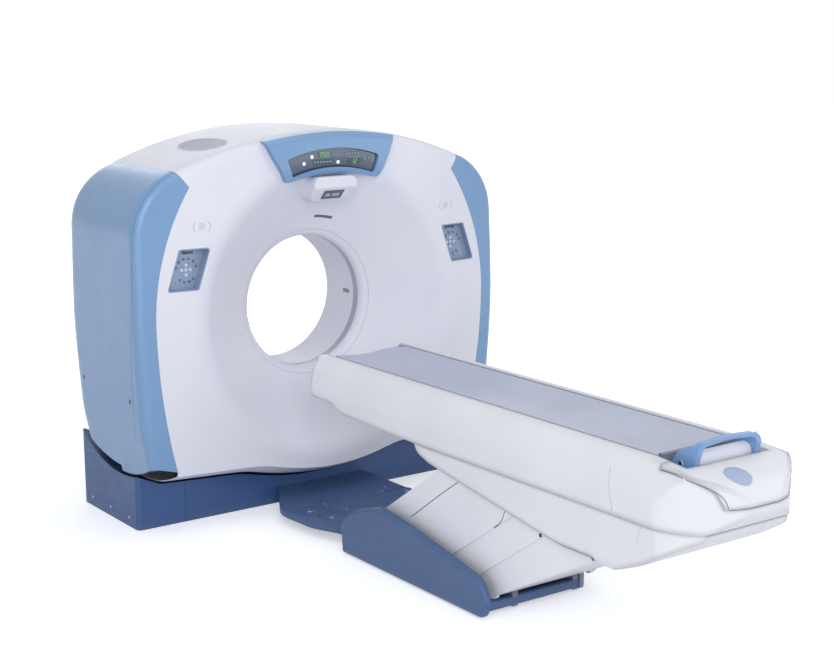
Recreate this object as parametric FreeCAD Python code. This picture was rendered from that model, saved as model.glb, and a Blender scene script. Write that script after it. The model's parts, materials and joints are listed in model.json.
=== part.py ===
import FreeCAD, Part
import math
import os

# A CT scanner: a tilting gantry on a floor plinth, and a patient table on a parallelogram lift.
# Millimetres. X points right as seen from the table, Y from the table to the gantry's back, Z up.
# The origin is on the floor under the isocentre, where the bore axis crosses the tilt axis.

V = FreeCAD.Vector

# ---------------------------------------------------------------- gantry sizes
ISO_HEIGHT = 1073.0          # floor to the bore axis
BORE_RADIUS = 350.0
BORE_FRONT = -160.0          # where the tunnel flares into the front dish
BORE_REAR = 190.0
LIP_ROUND = 45.0
CREST_RADIUS = 745.0         # where each dish rolls over into the flat of the cover
CREST_FRONT = -430.0
CREST_REAR = 472.0
CREST_ROUND = 150.0
EDGE_FRONT = -385.0          # front cover at the gantry's side
EDGE_REAR = 450.0
COVER_SKIN = 6.0
COVER_SEAM = 0.6
FRONT_ROUND = 55.0           # rounding of the gantry's front and rear perimeter
REAR_ROUND = 150.0
HOLLOW_CHAMFER = 0.82        # chamfer inside the perimeter, for each millimetre of rounding
HALF_WIDTH = 1099.0          # gantry, at the bore axis
SHOULDER_INSET = 11.0        # the outline's corners stand this far inside its half width
SHOULDER_HEIGHT = 653.0      # heights here are above the bore axis
SHOULDER_ROUND = 330.0
BULGE_HEIGHT = -60.0
BULGE_ROUND = 3500.0
TOP_APEX = 1097.0            # where the end tangents of the top arc meet
TOP_ROUND = 2250.0
WAIST_INSET = 27.0
WAIST_HEIGHT = -520.0
WAIST_ROUND = 900.0
FOOT_HALF_WIDTH = 980.0      # below the covers' lower edges, which the tilt sweep cuts
FOOT_HEIGHT = -1000.0
TOE_HALF_WIDTH = 895.0       # lower outer corner of the white front cover
TOE_HEIGHT = -762.0
KEEL_HALF_WIDTH = 430.0
KEEL_HEIGHT = -790.0
KEEL_APEX = -875.0
KEEL_ROUND = 1385.0
KEEL_DROP = 22.0
RIM_HALF_WIDTH = 1041.0      # lower edges of the side covers, as radii round the tilt axis
RIM_RADIUS = 791.0
INNER_RIM_RADIUS = 831.0
REAR_RIM_RADIUS = 765.0
PANEL_CORNER = (790.0, 672.0)    # white front panel, top outer corner
PANEL_WAIST = (995.0, 30.0)      # and its widest point
PANEL_TOP_HALF_WIDTH = 850.0
FRONT_SEAM = -300.0          # front cover to top and belly covers
REAR_SEAM = 385.0
SEAL_FRONT = -134.0          # dark ring between the front cover and the scan window
SEAL_REAR = -86.0
SEAL_RECESS = 2.0
LINER_REAR = 160.0
LINER_WALL = 4.0

# display and controls on the front cover
HOOD_DEPTH = 40.0
HOOD_REAR = -335.0
HOOD_TOP_INSET = 9.0
HOOD_INNER_RADIUS = 702.0
HOOD_FOOT_HALF_WIDTH = 272.0
SCREEN_INNER_RADIUS = 730.0
SCREEN_OUTER_RADIUS = 828.0
SCREEN_HALF_ANGLE = 19.5
SCREEN_DEPTH = 24.0
SEAT = 0.3                   # running or seating clearance between rigid pieces
POD_HALF_WIDTH = 128.0
POD_TOP = 684.0
POD_BOTTOM = 556.0
POD_FRONT = -474.0
POD_WINDOW_WIDTH = 118.0
POD_WINDOW_HEIGHT = 62.0
KEYPAD_TOP = 377.0
KEYPAD_BOTTOM = 170.0
KEYPAD_WIDTH = 165.0
KEYPAD_TOP_X = 782.0
KEYPAD_BOTTOM_X = 852.0
KEYPAD_DEPTH = 20.0
KEYPAD_WALL = 5.0
KEY_RADIUS = 8.0
KEY_RISE = 4.0
LASER_HALF_LENGTH = 31.0
LASER_HALF_HEIGHT = 11.0
LASER_CENTRE = -16.0
SLIT_RADIUS = 458.0          # camera slit in the front dish
SLIT_START = 2.0             # degrees right of the top
SLIT_END = 16.0
SLIT_HEIGHT = 15.0

# ---------------------------------------------------------------- rotor and frame sizes
FRAME_FRONT = 160.0
FRAME_THICKNESS = 35.0
FRAME_INNER_RADIUS = 402.0
FRAME_OUTER_RADIUS = 725.0
WING_INNER = 775.0
WING_OUTER = 885.0
WING_HALF_HEIGHT = 110.0
WING_FRONT = -62.0
TRUNNION_RADIUS = 45.0
BEARING_GAP = 0.1
RACE_INNER_RADIUS = 375.0
RACE_SPLIT_RADIUS = 412.0
RACE_OUTER_RADIUS = 450.0
RACE_GAP = 0.8
ROTOR_FRONT = 60.0
ROTOR_THICKNESS = 40.0
ROTOR_RADIUS = 700.0
ROTOR_HOLE_RADIUS = 42.0
FOCUS_RADIUS = 541.0         # focal spot above the bore axis
FOCUS_TO_DETECTOR = 949.0
FAN_HALF_ANGLE = 27.5
DETECTOR_DEPTH = 60.0
TUBE_RADIUS = 80.0
TUBE_HEIGHT = 600.0
TUBE_FRONT = -190.0
COLLIMATOR_TOP = 505.0
COLLIMATOR_BOTTOM = 440.0
RING_RADIUS = 480.0          # slip ring
RING_WIDTH = 100.0
RING_THICKNESS = 10.0
STATOR_RADIUS = 610.0
STATOR_WIDTH = 50.0
MAGNET_RISE = 11.0
AIR_GAP = 1.0
COVER_POST_RADIUS = 16.0
LUG_RADIUS = 36.0
COVER_POSTS = ((815.0, 520.0), (860.0, -560.0))

# ---------------------------------------------------------------- plinth sizes
PLINTH_HALF_WIDTH = 1030.0
PLINTH_FRONT = -180.0
PLINTH_REAR = 467.0
PLINTH_WALL = 5.0
PLINTH_TOP = 430.0
PLINTH_CORNER = 25.0
END_CAP_WIDTH = 270.0
PAD_INSET = 70.0             # anchor pads, from the plinth's ends
SWEEP_CLEARANCE = 14.0
BEAM_HEIGHT = 80.0
BEAM_WIDTH = 70.0
PAD_HEIGHT = 12.0
PAD_RADIUS = 45.0
ANCHOR_RADIUS = 9.0
POST_INNER = 903.0
POST_OUTER = 933.0
POST_NECK = (16.0, 44.0)     # front and rear of the neck, where the covers swing past it
POST_NECK_HEIGHT = 312.0
POST_SHANK = (54.0, 105.0)   # front and rear of the shank below the neck
POST_KNEES = (247.0, 290.0)
POST_HUB_RADIUS = 92.0
POST_BEARING_RADIUS = 70.0
GEARBOX_WIDTH = 50.0

# ---------------------------------------------------------------- table sizes
LIFT_ANGLE = 34.0            # arms above the horizontal, as the table stands
ARM_LENGTH = 900.0
ARM_HALF_HEIGHT = 35.0
ARM_INNER = 200.0
ARM_THICKNESS = 35.0
TIE_RADIUS = 16.0
PIVOT_HEIGHT = 130.0
FRONT_PIVOT = -1445.0
MIDDLE_PIVOT = -1883.0
REAR_PIVOT = -1981.0
TAIL_PIVOT = -2125.0         # base pivot of the rear leg shell
TAIL_PIVOT_HEIGHT = 85.0
SHAFT_RADIUS = 20.0
SMALL_SHAFT_RADIUS = 12.0
SHELL_HALF_WIDTH = 300.0
SHELL_WALL = 3.0
SHELL_STEP = 6.0             # each leg shell nests this much inside the one before it
CHEEK_INNER = 160.0
CHEEK_THICKNESS = 30.0
FLOOR_PLATE = 12.0
SKIRT_HALF_WIDTH = 385.0
SKIRT_INNER = 350.0
SKIRT_WALL = 5.0
SKIRT_ROUND = 20.0
LEFT_HEEL = -2205.0
RIGHT_HEEL = -1925.0
CROSSBAR_END = 194.0
BAR_REAR = -2148.0
BAR_FRONT = -2106.0
BAR_LOW = 15.0
BAR_HIGH = 60.0
PLATE_REAR = -2104.0
PLATE_HALF_WIDTH = 345.0
CASING_TOP = 905.0
CASING_SEAM = 655.0
CASING_HALF_WIDTH = 328.0
CASING_WALL = 5.0
CASING_SETBACK = 8.0         # lower casing inside the upper one
CASING_NOSE = -704.0
CASING_TAIL = -3402.0
LEG_OPENING_FRONT = -1540.0
LEG_OPENING_REAR = -2788.0
CHANNEL_HALF_WIDTH = 221.0
CHANNEL_TAIL = -3066.0
DECK_TOP = 820.0
DECK_THICKNESS = 8.0
DECK_HALF_WIDTH = 305.0
BEAM_DEPTH = 50.0
RAIL_INNER = 120.0
RAIL_WIDTH = 30.0
RAIL_HEIGHT = 22.0
CRADLE_HALF_WIDTH = 215.0
CRADLE_LENGTH = 2336.0
CRADLE_NOSE = -700.0
CRADLE_EDGE = 14.0
CRADLE_SAG = 30.0
CRADLE_BOTTOM_SAG = 26.0
BRACKET_LENGTH = 22.0
HANDLE_AXIS = -3128.0
HANDLE_HEIGHT = 886.0
DRUM_RADIUS = 36.0
DRUM_SETBACK = 20.0
DRUM_HALF_WIDTH = 150.0
STUB_RADIUS = 9.0
FOOT_DISC_WIDTH = 24.0
HATCH_HALF_WIDTH = 285.0
HATCH_FRONT = -3120.0
HATCH_BOTTOM = 757.0
POCKET_TAIL = -3205.0        # recess behind the channel for the release handle
POCKET_FLOOR = 852.0

# ---------------------------------------------------------------- foot pedals
HOUSING_TOP = 88.0
HOUSING_UNDERSIDE = 48.0
PEDAL_LENGTH = 128.0
PEDAL_WIDTH = 118.0
PEDAL_THICKNESS = 15.0
PEDAL_PIN_RADIUS = 5.0
PEDAL_WELL = 32.0
PEDALS = ((232.0, -655.0), (196.0, -808.0))   # hinge from the centre line, place along Y


# ---------------------------------------------------------------- drawing helpers
def front_view(x, height):
    """Point seen from the front; heights are above the bore axis."""
    return V(x, 0, ISO_HEIGHT + height)


def end_view(x, z):
    """Point seen from the front; heights are above the floor."""
    return V(x, 0, z)


def side_view(y, z):
    return V(0, y, z)


def plan_view(x, y):
    return V(x, y, 0)


def along_arm(pivot_y, pivot_z):
    """Places (distance along the arm, distance below it) at the resting lift angle."""
    angle = math.radians(LIFT_ANGLE)

    def place(u, v):
        y = pivot_y - u * math.cos(angle) - v * math.sin(angle)
        z = pivot_z + u * math.sin(angle) - v * math.cos(angle)
        return V(0, y, z)
    return place


def round_corner(before, corner, after, radius):
    """Start, middle and end of the arc that rounds a corner."""
    to_before = (before - corner).normalize()
    to_after = (after - corner).normalize()
    half = to_before.getAngle(to_after) / 2
    run = radius / math.tan(half)
    reach = radius / math.sin(half) - radius
    bisector = (to_before + to_after).normalize()
    return corner + to_before * run, corner + bisector * reach, corner + to_after * run


def face_of(corners, place):
    """Flat face with corners (u, v) or (u, v, rounding radius)."""
    points = [V(corner[0], corner[1], 0) for corner in corners]
    runs = []
    for index, corner in enumerate(corners):
        point = points[index]
        if len(corner) < 3 or corner[2] <= 0:
            runs.append((point, None, point))
            continue
        after = points[(index + 1) % len(points)]
        runs.append(round_corner(points[index - 1], point, after, corner[2]))
    edges = []
    for index, (start, middle, end) in enumerate(runs):
        if middle is not None:
            arc = Part.Arc(place(start.x, start.y), place(middle.x, middle.y), place(end.x, end.y))
            edges.append(arc.toShape())
        following = runs[(index + 1) % len(runs)][0]
        if (following - end).Length > 1e-6:
            line = Part.LineSegment(place(end.x, end.y), place(following.x, following.y))
            edges.append(line.toShape())
    return Part.Face(Part.Wire(edges))


def mirrored(half, top=(), bottom=()):
    """Closed list of corners from a right half, with optional corners on the centre line."""
    left = [(-corner[0],) + tuple(corner[1:]) for corner in reversed(half)]
    return list(top) + list(half) + list(bottom) + left


def prism(face, direction, start, end):
    """Face moved to start along a direction and pulled to end."""
    moved = face.copy()
    moved.translate(direction * start)
    return moved.extrude(direction * (end - start))


ACROSS = V(1, 0, 0)
ALONG = V(0, 1, 0)
UP = V(0, 0, 1)


def box(x0, x1, y0, y1, z0, z1):
    return Part.makeBox(x1 - x0, y1 - y0, z1 - z0, V(x0, y0, z0))


def rod(radius, centre, direction, start, end):
    return Part.makeCylinder(radius, end - start, centre + direction * start, direction)


def ring(outer, inner, centre, direction, start, end):
    return rod(outer, centre, direction, start, end).cut(rod(inner, centre, direction, start - 1, end + 1))


def bore_ring(outer, inner, start, end):
    return ring(outer, inner, V(0, 0, ISO_HEIGHT), ALONG, start, end)


def bore_rod(radius, start, end):
    return rod(radius, V(0, 0, ISO_HEIGHT), ALONG, start, end)


def other_side(shape):
    return shape.mirror(V(0, 0, 0), ACROSS)


def both_sides(shape):
    return shape.fuse(other_side(shape))


def save(name, shape):
    shape = shape.removeSplitter()
    shape.exportStep("parts/" + name + ".step")


# ---------------------------------------------------------------- gantry skin
FAR = 1600.0                 # beyond the gantry in every direction


def gantry_outline():
    half = [
        (HALF_WIDTH - SHOULDER_INSET, SHOULDER_HEIGHT, SHOULDER_ROUND),
        (HALF_WIDTH, BULGE_HEIGHT, BULGE_ROUND),
        (HALF_WIDTH - WAIST_INSET, WAIST_HEIGHT, WAIST_ROUND),
        (FOOT_HALF_WIDTH, FOOT_HEIGHT),
    ]
    return mirrored(half, [(0, TOP_APEX, TOP_ROUND)])


def dish_slope(crest, edge):
    return (edge - crest) / (HALF_WIDTH - CREST_RADIUS)


def dish_profile():
    """Half section of the covers through the bore axis, with its tunnel and two dishes."""
    run = FAR - CREST_RADIUS
    return [
        (BORE_RADIUS, BORE_FRONT, LIP_ROUND),
        (CREST_RADIUS, CREST_FRONT, CREST_ROUND),
        (FAR, CREST_FRONT + run * dish_slope(CREST_FRONT, EDGE_FRONT)),
        (FAR, CREST_REAR + run * dish_slope(CREST_REAR, EDGE_REAR)),
        (CREST_RADIUS, CREST_REAR, CREST_ROUND),
        (BORE_RADIUS, BORE_REAR, LIP_ROUND),
    ]


def sweep_radius(height, clearance):
    """Distance from the tilt axis to the front lower edge at a height, and a clearance."""
    return math.hypot(height, EDGE_FRONT) + clearance


def sweep_solid(clearance, inner_rim_radius):
    """What the covers sweep below the tilt axis: a profile of radii turned about that axis."""
    half = [
        (FAR, 0),
        (FAR, -RIM_RADIUS - clearance),
        (RIM_HALF_WIDTH, -RIM_RADIUS - clearance),
        (TOE_HALF_WIDTH + COVER_SEAM / 2, -inner_rim_radius - clearance),
        (TOE_HALF_WIDTH, -sweep_radius(TOE_HEIGHT, clearance)),
        (KEEL_HALF_WIDTH, -sweep_radius(KEEL_HEIGHT, clearance), 900.0),
    ]
    corners = mirrored(half, (), [(0, -sweep_radius(KEEL_APEX, clearance) - KEEL_DROP, KEEL_ROUND)])
    return face_of(corners, front_view).revolve(V(0, 0, ISO_HEIGHT), ACROSS, 360)


def perimeter_edges(solid, outline, front):
    """Front or rear edges of a block along its outline, without those at its hidden foot."""
    foot = ISO_HEIGHT + FOOT_HEIGHT + FRONT_ROUND
    edges = []
    for edge in solid.Edges:
        half_way = (edge.FirstParameter + edge.LastParameter) / 2
        point = edge.valueAt(half_way)
        flat = Part.Vertex(V(point.x, 0, point.z))
        on_outline = outline.distToShape(flat)[0] < 0.01
        across = abs(edge.tangentAt(half_way).y) < 0.9
        if on_outline and across and point.z > foot and (point.y < 0) == front:
            edges.append(edge)
    return edges


def gantry_blank(inset):
    """Outline and dished solid of the gantry with a sharp perimeter, moved inwards by inset."""
    outline = face_of(gantry_outline(), front_view)
    profile = face_of(dish_profile(), lambda radius, y: V(radius, y, ISO_HEIGHT))
    if inset:
        outline = outline.makeOffset2D(-inset)
        profile = profile.makeOffset2D(-inset)
    dish = profile.revolve(V(0, 0, ISO_HEIGHT), ALONG, 360)
    return outline.OuterWire, prism(outline, ALONG, -FAR, FAR).common(dish).Solids[0]


def gantry_block(inset):
    """Solid inside the covers' outer surface, moved inwards by inset."""
    outline, block = gantry_blank(inset)
    for radius, front in ((FRONT_ROUND, True), (REAR_ROUND, False)):
        block = block.makeFillet(radius - inset, perimeter_edges(block, outline, front))
    return block


def gantry_hollow(inset):
    """Inside of the covers, with its perimeter chamfered clear of the rounding outside it."""
    outline, block = gantry_blank(inset)
    for radius, front in ((FRONT_ROUND, True), (REAR_ROUND, False)):
        leg = (radius - inset) * HOLLOW_CHAMFER
        block = block.makeChamfer(leg, perimeter_edges(block, outline, front))
    return block


def cover_skin():
    """Skin of all covers: closed below between the toes, open below outside them."""
    axis = V(0, 0, ISO_HEIGHT)
    block, hollow = gantry_block(0), gantry_hollow(COVER_SKIN)
    above = box(-FAR, FAR, -FAR, FAR, ISO_HEIGHT, ISO_HEIGHT + FAR)
    core = box(-TOE_HALF_WIDTH, TOE_HALF_WIDTH, -FAR, FAR, -FAR, ISO_HEIGHT + FAR)
    outside = block.common(sweep_solid(0, INNER_RIM_RADIUS).fuse(above))
    inside = hollow.common(sweep_solid(-COVER_SKIN, INNER_RIM_RADIUS).fuse(above))
    rear_rim = ring(2 * FAR, REAR_RIM_RADIUS, axis, ACROSS, -FAR, FAR)
    rear_rim = rear_rim.common(box(-FAR, FAR, 0, FAR, -FAR, ISO_HEIGHT))
    closed = outside.cut(inside).common(core)
    opened = outside.cut(hollow).cut(core).cut(rear_rim)
    return block, closed.fuse(opened)


def panel_region(grow):
    """Front view of the white covers: the outline between the two blue side covers."""
    corner = PANEL_CORNER
    waist = PANEL_WAIST
    toe = (TOE_HALF_WIDTH, -FAR)
    tip = (TOE_HALF_WIDTH, TOE_HEIGHT + 20.0)
    shoulder = (PANEL_TOP_HALF_WIDTH, 752.0)
    top = (PANEL_TOP_HALF_WIDTH, FAR)
    upper_middle = (927.0, 400.0)
    lower_middle = (972.0, -345.0)

    def at(point, side=1):
        return front_view(side * (point[0] + grow), point[1])

    edges = []
    for side in (1, -1):
        edges += [
            Part.LineSegment(at(top, side), at(shoulder, side)).toShape(),
            Part.LineSegment(at(shoulder, side), at(corner, side)).toShape(),
            Part.Arc(at(corner, side), at(upper_middle, side), at(waist, side)).toShape(),
            Part.Arc(at(waist, side), at(lower_middle, side), at(tip, side)).toShape(),
            Part.LineSegment(at(tip, side), at(toe, side)).toShape(),
        ]
    edges.append(Part.LineSegment(at(top), at(top, -1)).toShape())
    edges.append(Part.LineSegment(at(toe), at(toe, -1)).toShape())
    face = Part.Face(Part.Wire(Part.__sortEdges__(edges)))
    return prism(face, ALONG, -FAR, FAR)


def slab(y0, y1):
    return box(-FAR, FAR, y0, y1, ISO_HEIGHT - FAR, ISO_HEIGHT + FAR)


# ---------------------------------------------------------------- display and controls
def sector_face(centre, inner, outer, start, end):
    """Front view of a ring sector; angles in degrees, clockwise from straight up."""
    def at(radius, angle):
        turn = math.radians(angle)
        return front_view(radius * math.sin(turn), centre + radius * math.cos(turn))

    middle = (start + end) / 2
    edges = [
        Part.Arc(at(outer, start), at(outer, middle), at(outer, end)).toShape(),
        Part.LineSegment(at(outer, end), at(inner, end)).toShape(),
        Part.Arc(at(inner, end), at(inner, middle), at(inner, start)).toShape(),
        Part.LineSegment(at(inner, start), at(outer, start)).toShape(),
    ]
    return Part.Face(Part.Wire(edges))


def hood_region():
    """Front view of the blue hood round the display, wing tips to foot."""
    half = [
        (442.0, FAR),
        (442.0, 905.0),
        (387.0, 874.0, 60.0),
        (340.0, 782.0, 120.0),
        (HOOD_FOOT_HALF_WIDTH, 662.0, 20.0),
    ]
    face = face_of(mirrored(half, (), [(0, HOOD_INNER_RADIUS + 18.0, 1000.0)]), front_view)
    outline = face_of(gantry_outline(), front_view).makeOffset2D(-HOOD_TOP_INSET)
    return prism(face.common(outline), ALONG, -FAR, HOOD_REAR)


def display_prism(gap, start, end):
    spread = SCREEN_HALF_ANGLE - math.degrees(gap / SCREEN_INNER_RADIUS)
    face = sector_face(0, SCREEN_INNER_RADIUS + gap, SCREEN_OUTER_RADIUS - gap, -spread, spread)
    solid = prism(face, ALONG, start, end)
    return solid.makeFillet(14.0, [edge for edge in solid.Edges if edge.BoundBox.YLength > 1])


def moved_forward(shape, distance):
    copy = shape.copy()
    copy.translate(ALONG * -distance)
    return copy


def display_pieces(block):
    """Hood and recessed display, both lying on the front cover's surface."""
    seat = moved_forward(block, SEAT)
    hood = moved_forward(block, HOOD_DEPTH).common(hood_region()).cut(seat)
    hood = hood.cut(display_prism(0, -FAR, 0))
    panel = moved_forward(block, SCREEN_DEPTH).common(display_prism(SEAT, -FAR, 0)).cut(seat)
    return hood, panel, seat


def pod_pieces(seat):
    """Small white housing under the display, with a dark window in its sloping underside."""
    chamfer = (POD_TOP - POD_BOTTOM) * 0.55
    rear = FRONT_SEAM
    side = face_of([(POD_FRONT, POD_TOP, 14.0), (POD_FRONT, POD_BOTTOM + chamfer, 14.0),
                    (POD_FRONT + chamfer, POD_BOTTOM, 14.0), (rear, POD_BOTTOM),
                    (rear, POD_TOP)], lambda y, height: V(0, y, ISO_HEIGHT + height))
    front = face_of(mirrored([(POD_HALF_WIDTH, POD_TOP, 40.0), (POD_HALF_WIDTH, POD_BOTTOM, 50.0)]),
                    front_view)
    pod = prism(side, ACROSS, -POD_HALF_WIDTH, POD_HALF_WIDTH)
    pod = pod.common(prism(front, ALONG, -FAR, FAR)).cut(seat)
    slope = math.sqrt(0.5)
    middle = V(0, POD_FRONT + chamfer / 2, ISO_HEIGHT + POD_BOTTOM + chamfer / 2)
    outward = V(0, -slope, -slope)
    upward = V(0, -slope, slope)
    window = Part.makeBox(POD_WINDOW_WIDTH, POD_WINDOW_HEIGHT, 3.0)
    window.translate(V(-POD_WINDOW_WIDTH / 2, -POD_WINDOW_HEIGHT / 2, 0))
    turn = FreeCAD.Placement(V(0, 0, 0), FreeCAD.Rotation(ACROSS, upward, outward))
    window.Placement = turn.multiply(window.Placement)
    window.translate(middle + outward * SEAT)
    return pod, window


def keypad_face(grow):
    """Front view of the right-hand keypad's recess."""
    half = KEYPAD_WIDTH / 2 + grow
    rise = grow
    corners = [
        (KEYPAD_TOP_X - half, KEYPAD_TOP + rise, 12.0),
        (KEYPAD_TOP_X + half, KEYPAD_TOP + rise, 12.0),
        (KEYPAD_BOTTOM_X + half, KEYPAD_BOTTOM - rise, 12.0),
        (KEYPAD_BOTTOM_X - half, KEYPAD_BOTTOM - rise, 12.0),
    ]
    return face_of(corners, front_view)


def keypad(block):
    """Recessed tray with a small display, an arc of keys and a group of five below it."""
    floor = EDGE_FRONT + KEYPAD_DEPTH
    tray = prism(keypad_face(-SEAT), ALONG, -FAR / 2, floor + 2 * KEYPAD_WALL).common(block)
    tray = tray.cut(prism(keypad_face(-SEAT - KEYPAD_WALL), ALONG, -FAR / 2, floor))
    centre_x = (KEYPAD_TOP_X + KEYPAD_BOTTOM_X) / 2 + 6.0
    centre_height = (KEYPAD_TOP + KEYPAD_BOTTOM) / 2 - 14.0
    spots = [(math.radians(90 + step), 56.0) for step in (-75, -45, -15, 15, 45, 75)]
    spots += [(math.radians(angle), 24.0) for angle in (0, 90, 180, 270)]
    spots += [(0.0, 0.0)]
    spots += [(math.radians(270 + step), 60.0) for step in (-38, -13, 13, 38)]
    for angle, reach in spots:
        centre = front_view(centre_x + reach * math.cos(angle), centre_height + reach * math.sin(angle))
        key = rod(KEY_RADIUS, centre, ALONG, floor - KEY_RISE, floor)
        tray = tray.fuse(key)
    readout = prism(face_of([(KEYPAD_TOP_X - 8.0, KEYPAD_TOP - 12.0, 4.0),
                             (KEYPAD_TOP_X + 62.0, KEYPAD_TOP - 12.0, 4.0),
                             (KEYPAD_TOP_X + 66.0, KEYPAD_TOP - 34.0, 4.0),
                             (KEYPAD_TOP_X - 4.0, KEYPAD_TOP - 34.0, 4.0)], front_view),
                    ALONG, floor - KEY_RISE, floor)
    return tray.fuse(readout)


def slit_tool(grow):
    """Slot along an arc in the front dish."""
    half = SLIT_HEIGHT / 2 + grow
    reach = math.degrees(grow / SLIT_RADIUS)
    face = sector_face(0, SLIT_RADIUS - half, SLIT_RADIUS + half, SLIT_START - reach, SLIT_END + reach)
    return prism(face, ALONG, -FAR / 2, 0)


def laser_tool(grow):
    half = LASER_HALF_LENGTH + grow
    rise = LASER_HALF_HEIGHT + grow
    return box(BORE_RADIUS - 10, BORE_RADIUS + 20, LASER_CENTRE - half, LASER_CENTRE + half,
               ISO_HEIGHT - rise, ISO_HEIGHT + rise)


# ---------------------------------------------------------------- gantry covers
def make_covers():
    block, skin = cover_skin()
    panel = skin.common(panel_region(0))
    blue = skin.cut(panel_region(COVER_SEAM))
    crest = CREST_RADIUS + 14.0
    front_zone = slab(-FAR, FRONT_SEAM).fuse(bore_rod(crest, -FAR, SEAL_FRONT))
    rear_zone = slab(REAR_SEAM, FAR).fuse(bore_rod(crest, LINER_REAR, FAR))
    above = box(-FAR, FAR, -FAR, FAR, ISO_HEIGHT, ISO_HEIGHT + FAR)

    recess = prism(keypad_face(0), ALONG, -FAR, 0)
    front = panel.common(front_zone).cut(recess).cut(other_side(recess)).cut(slit_tool(0))
    save("front_cover", front)
    save("rear_cover", panel.common(rear_zone))
    middle = panel.common(slab(FRONT_SEAM + COVER_SEAM, REAR_SEAM - COVER_SEAM))
    middle = middle.cut(bore_rod(crest, -FAR, FAR))
    save("top_cover", middle.common(above))
    save("belly_cover", middle.cut(above))
    right = blue.common(box(0, FAR, -FAR, FAR, -FAR, 2 * FAR))
    save("side_cover_right", right)
    save("side_cover_left", other_side(right))

    hood, display, seat = display_pieces(block)
    pod, window = pod_pieces(seat)
    save("display_housing", hood)
    save("display_panel", display)
    save("sensor_pod", pod)
    tray = keypad(block)
    save("keypads", Part.makeCompound([tray, other_side(tray)]))

    save("bore_seal_ring", bore_ring(BORE_RADIUS + COVER_SKIN, BORE_RADIUS + SEAL_RECESS,
                                     SEAL_FRONT, SEAL_REAR))
    liner = bore_ring(BORE_RADIUS + LINER_WALL, BORE_RADIUS, SEAL_REAR, LINER_REAR)
    laser_ring = bore_ring(BORE_RADIUS + LINER_WALL, BORE_RADIUS + 1.5, SEAL_REAR, LINER_REAR)
    liner = liner.cut(laser_tool(SEAT)).cut(other_side(laser_tool(SEAT)))
    save("bore_liner", liner)
    laser = laser_ring.common(laser_tool(0))
    slit = skin.common(slit_tool(-SEAT))
    save("sensor_windows", Part.makeCompound([laser, other_side(laser), slit, window]))


# ---------------------------------------------------------------- tilting frame
def bar(start, end, half_width, y0, y1):
    """Flat bar in the frame's plane between two points seen from the front."""
    a, b = V(start[0], start[1], 0), V(end[0], end[1], 0)
    run = (b - a).normalize()
    side = V(-run.y, run.x, 0) * half_width
    corners = [(point.x, point.y) for point in (a + side, b + side, b - side, a - side)]
    return prism(face_of(corners, front_view), ALONG, y0, y1)


def make_tilt_frame():
    rear = FRAME_FRONT + FRAME_THICKNESS
    frame = bore_ring(FRAME_OUTER_RADIUS, FRAME_INNER_RADIUS, FRAME_FRONT, rear)
    wing = box(WING_INNER, WING_OUTER, WING_FRONT, rear, ISO_HEIGHT - WING_HALF_HEIGHT,
               ISO_HEIGHT + WING_HALF_HEIGHT)
    web = box(FRAME_OUTER_RADIUS - 60, WING_INNER, FRAME_FRONT, rear, ISO_HEIGHT - WING_HALF_HEIGHT - 40,
              ISO_HEIGHT + WING_HALF_HEIGHT + 40)
    frame = frame.fuse([both_sides(wing), both_sides(web)])
    axis = V(0, 0, ISO_HEIGHT)
    frame = frame.fuse(rod(TRUNNION_RADIUS, axis, ACROSS, WING_OUTER, POST_OUTER))
    frame = frame.fuse(rod(TRUNNION_RADIUS, axis, ACROSS, -POST_OUTER - GEARBOX_WIDTH + 10, -WING_OUTER))
    for x, height in COVER_POSTS:
        reach = math.hypot(x, height)
        root = (x * 0.68 * CREST_RADIUS / reach, height * 0.68 * CREST_RADIUS / reach)
        lug = bar(root, (x, height), LUG_RADIUS, FRAME_FRONT, rear)
        lug = lug.fuse(rod(LUG_RADIUS, front_view(x, height), ALONG, FRAME_FRONT, rear))
        lug = lug.cut(bore_rod(FRAME_INNER_RADIUS + 10, -FAR, FAR))
        frame = frame.fuse(both_sides(lug))
    frame = frame.cut(both_sides(cover_post_holes()))
    save("tilt_frame", frame)


def cover_post_holes():
    rear = FRAME_FRONT + FRAME_THICKNESS
    holes = [rod(COVER_POST_RADIUS + 0.05, V(x, 0, ISO_HEIGHT + height), ALONG, FRAME_FRONT - 1, rear + 1)
             for x, height in COVER_POSTS]
    return holes[0].fuse(holes[1:])


def make_cover_posts():
    """Tie rods through the frame, ending just inside the front and rear covers."""
    rods = []
    for x, height in COVER_POSTS:
        reach = math.hypot(x, height)
        front = CREST_FRONT + (reach - CREST_RADIUS) * dish_slope(CREST_FRONT, EDGE_FRONT)
        rear = CREST_REAR + (reach - CREST_RADIUS) * dish_slope(CREST_REAR, EDGE_REAR)
        inset = COVER_SKIN + SEAT + 2.0
        post = rod(COVER_POST_RADIUS, V(x, 0, ISO_HEIGHT + height), ALONG, front + inset, rear - inset)
        rods += [post, other_side(post)]
    save("cover_posts", Part.makeCompound(rods))


def make_bearing():
    rotor_rear = ROTOR_FRONT + ROTOR_THICKNESS
    save("bearing_outer_race", bore_ring(RACE_OUTER_RADIUS, RACE_SPLIT_RADIUS,
                                         rotor_rear + 8, FRAME_FRONT))
    save("bearing_inner_race", bore_ring(RACE_SPLIT_RADIUS - RACE_GAP, RACE_INNER_RADIUS,
                                         rotor_rear, FRAME_FRONT - 4))


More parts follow.
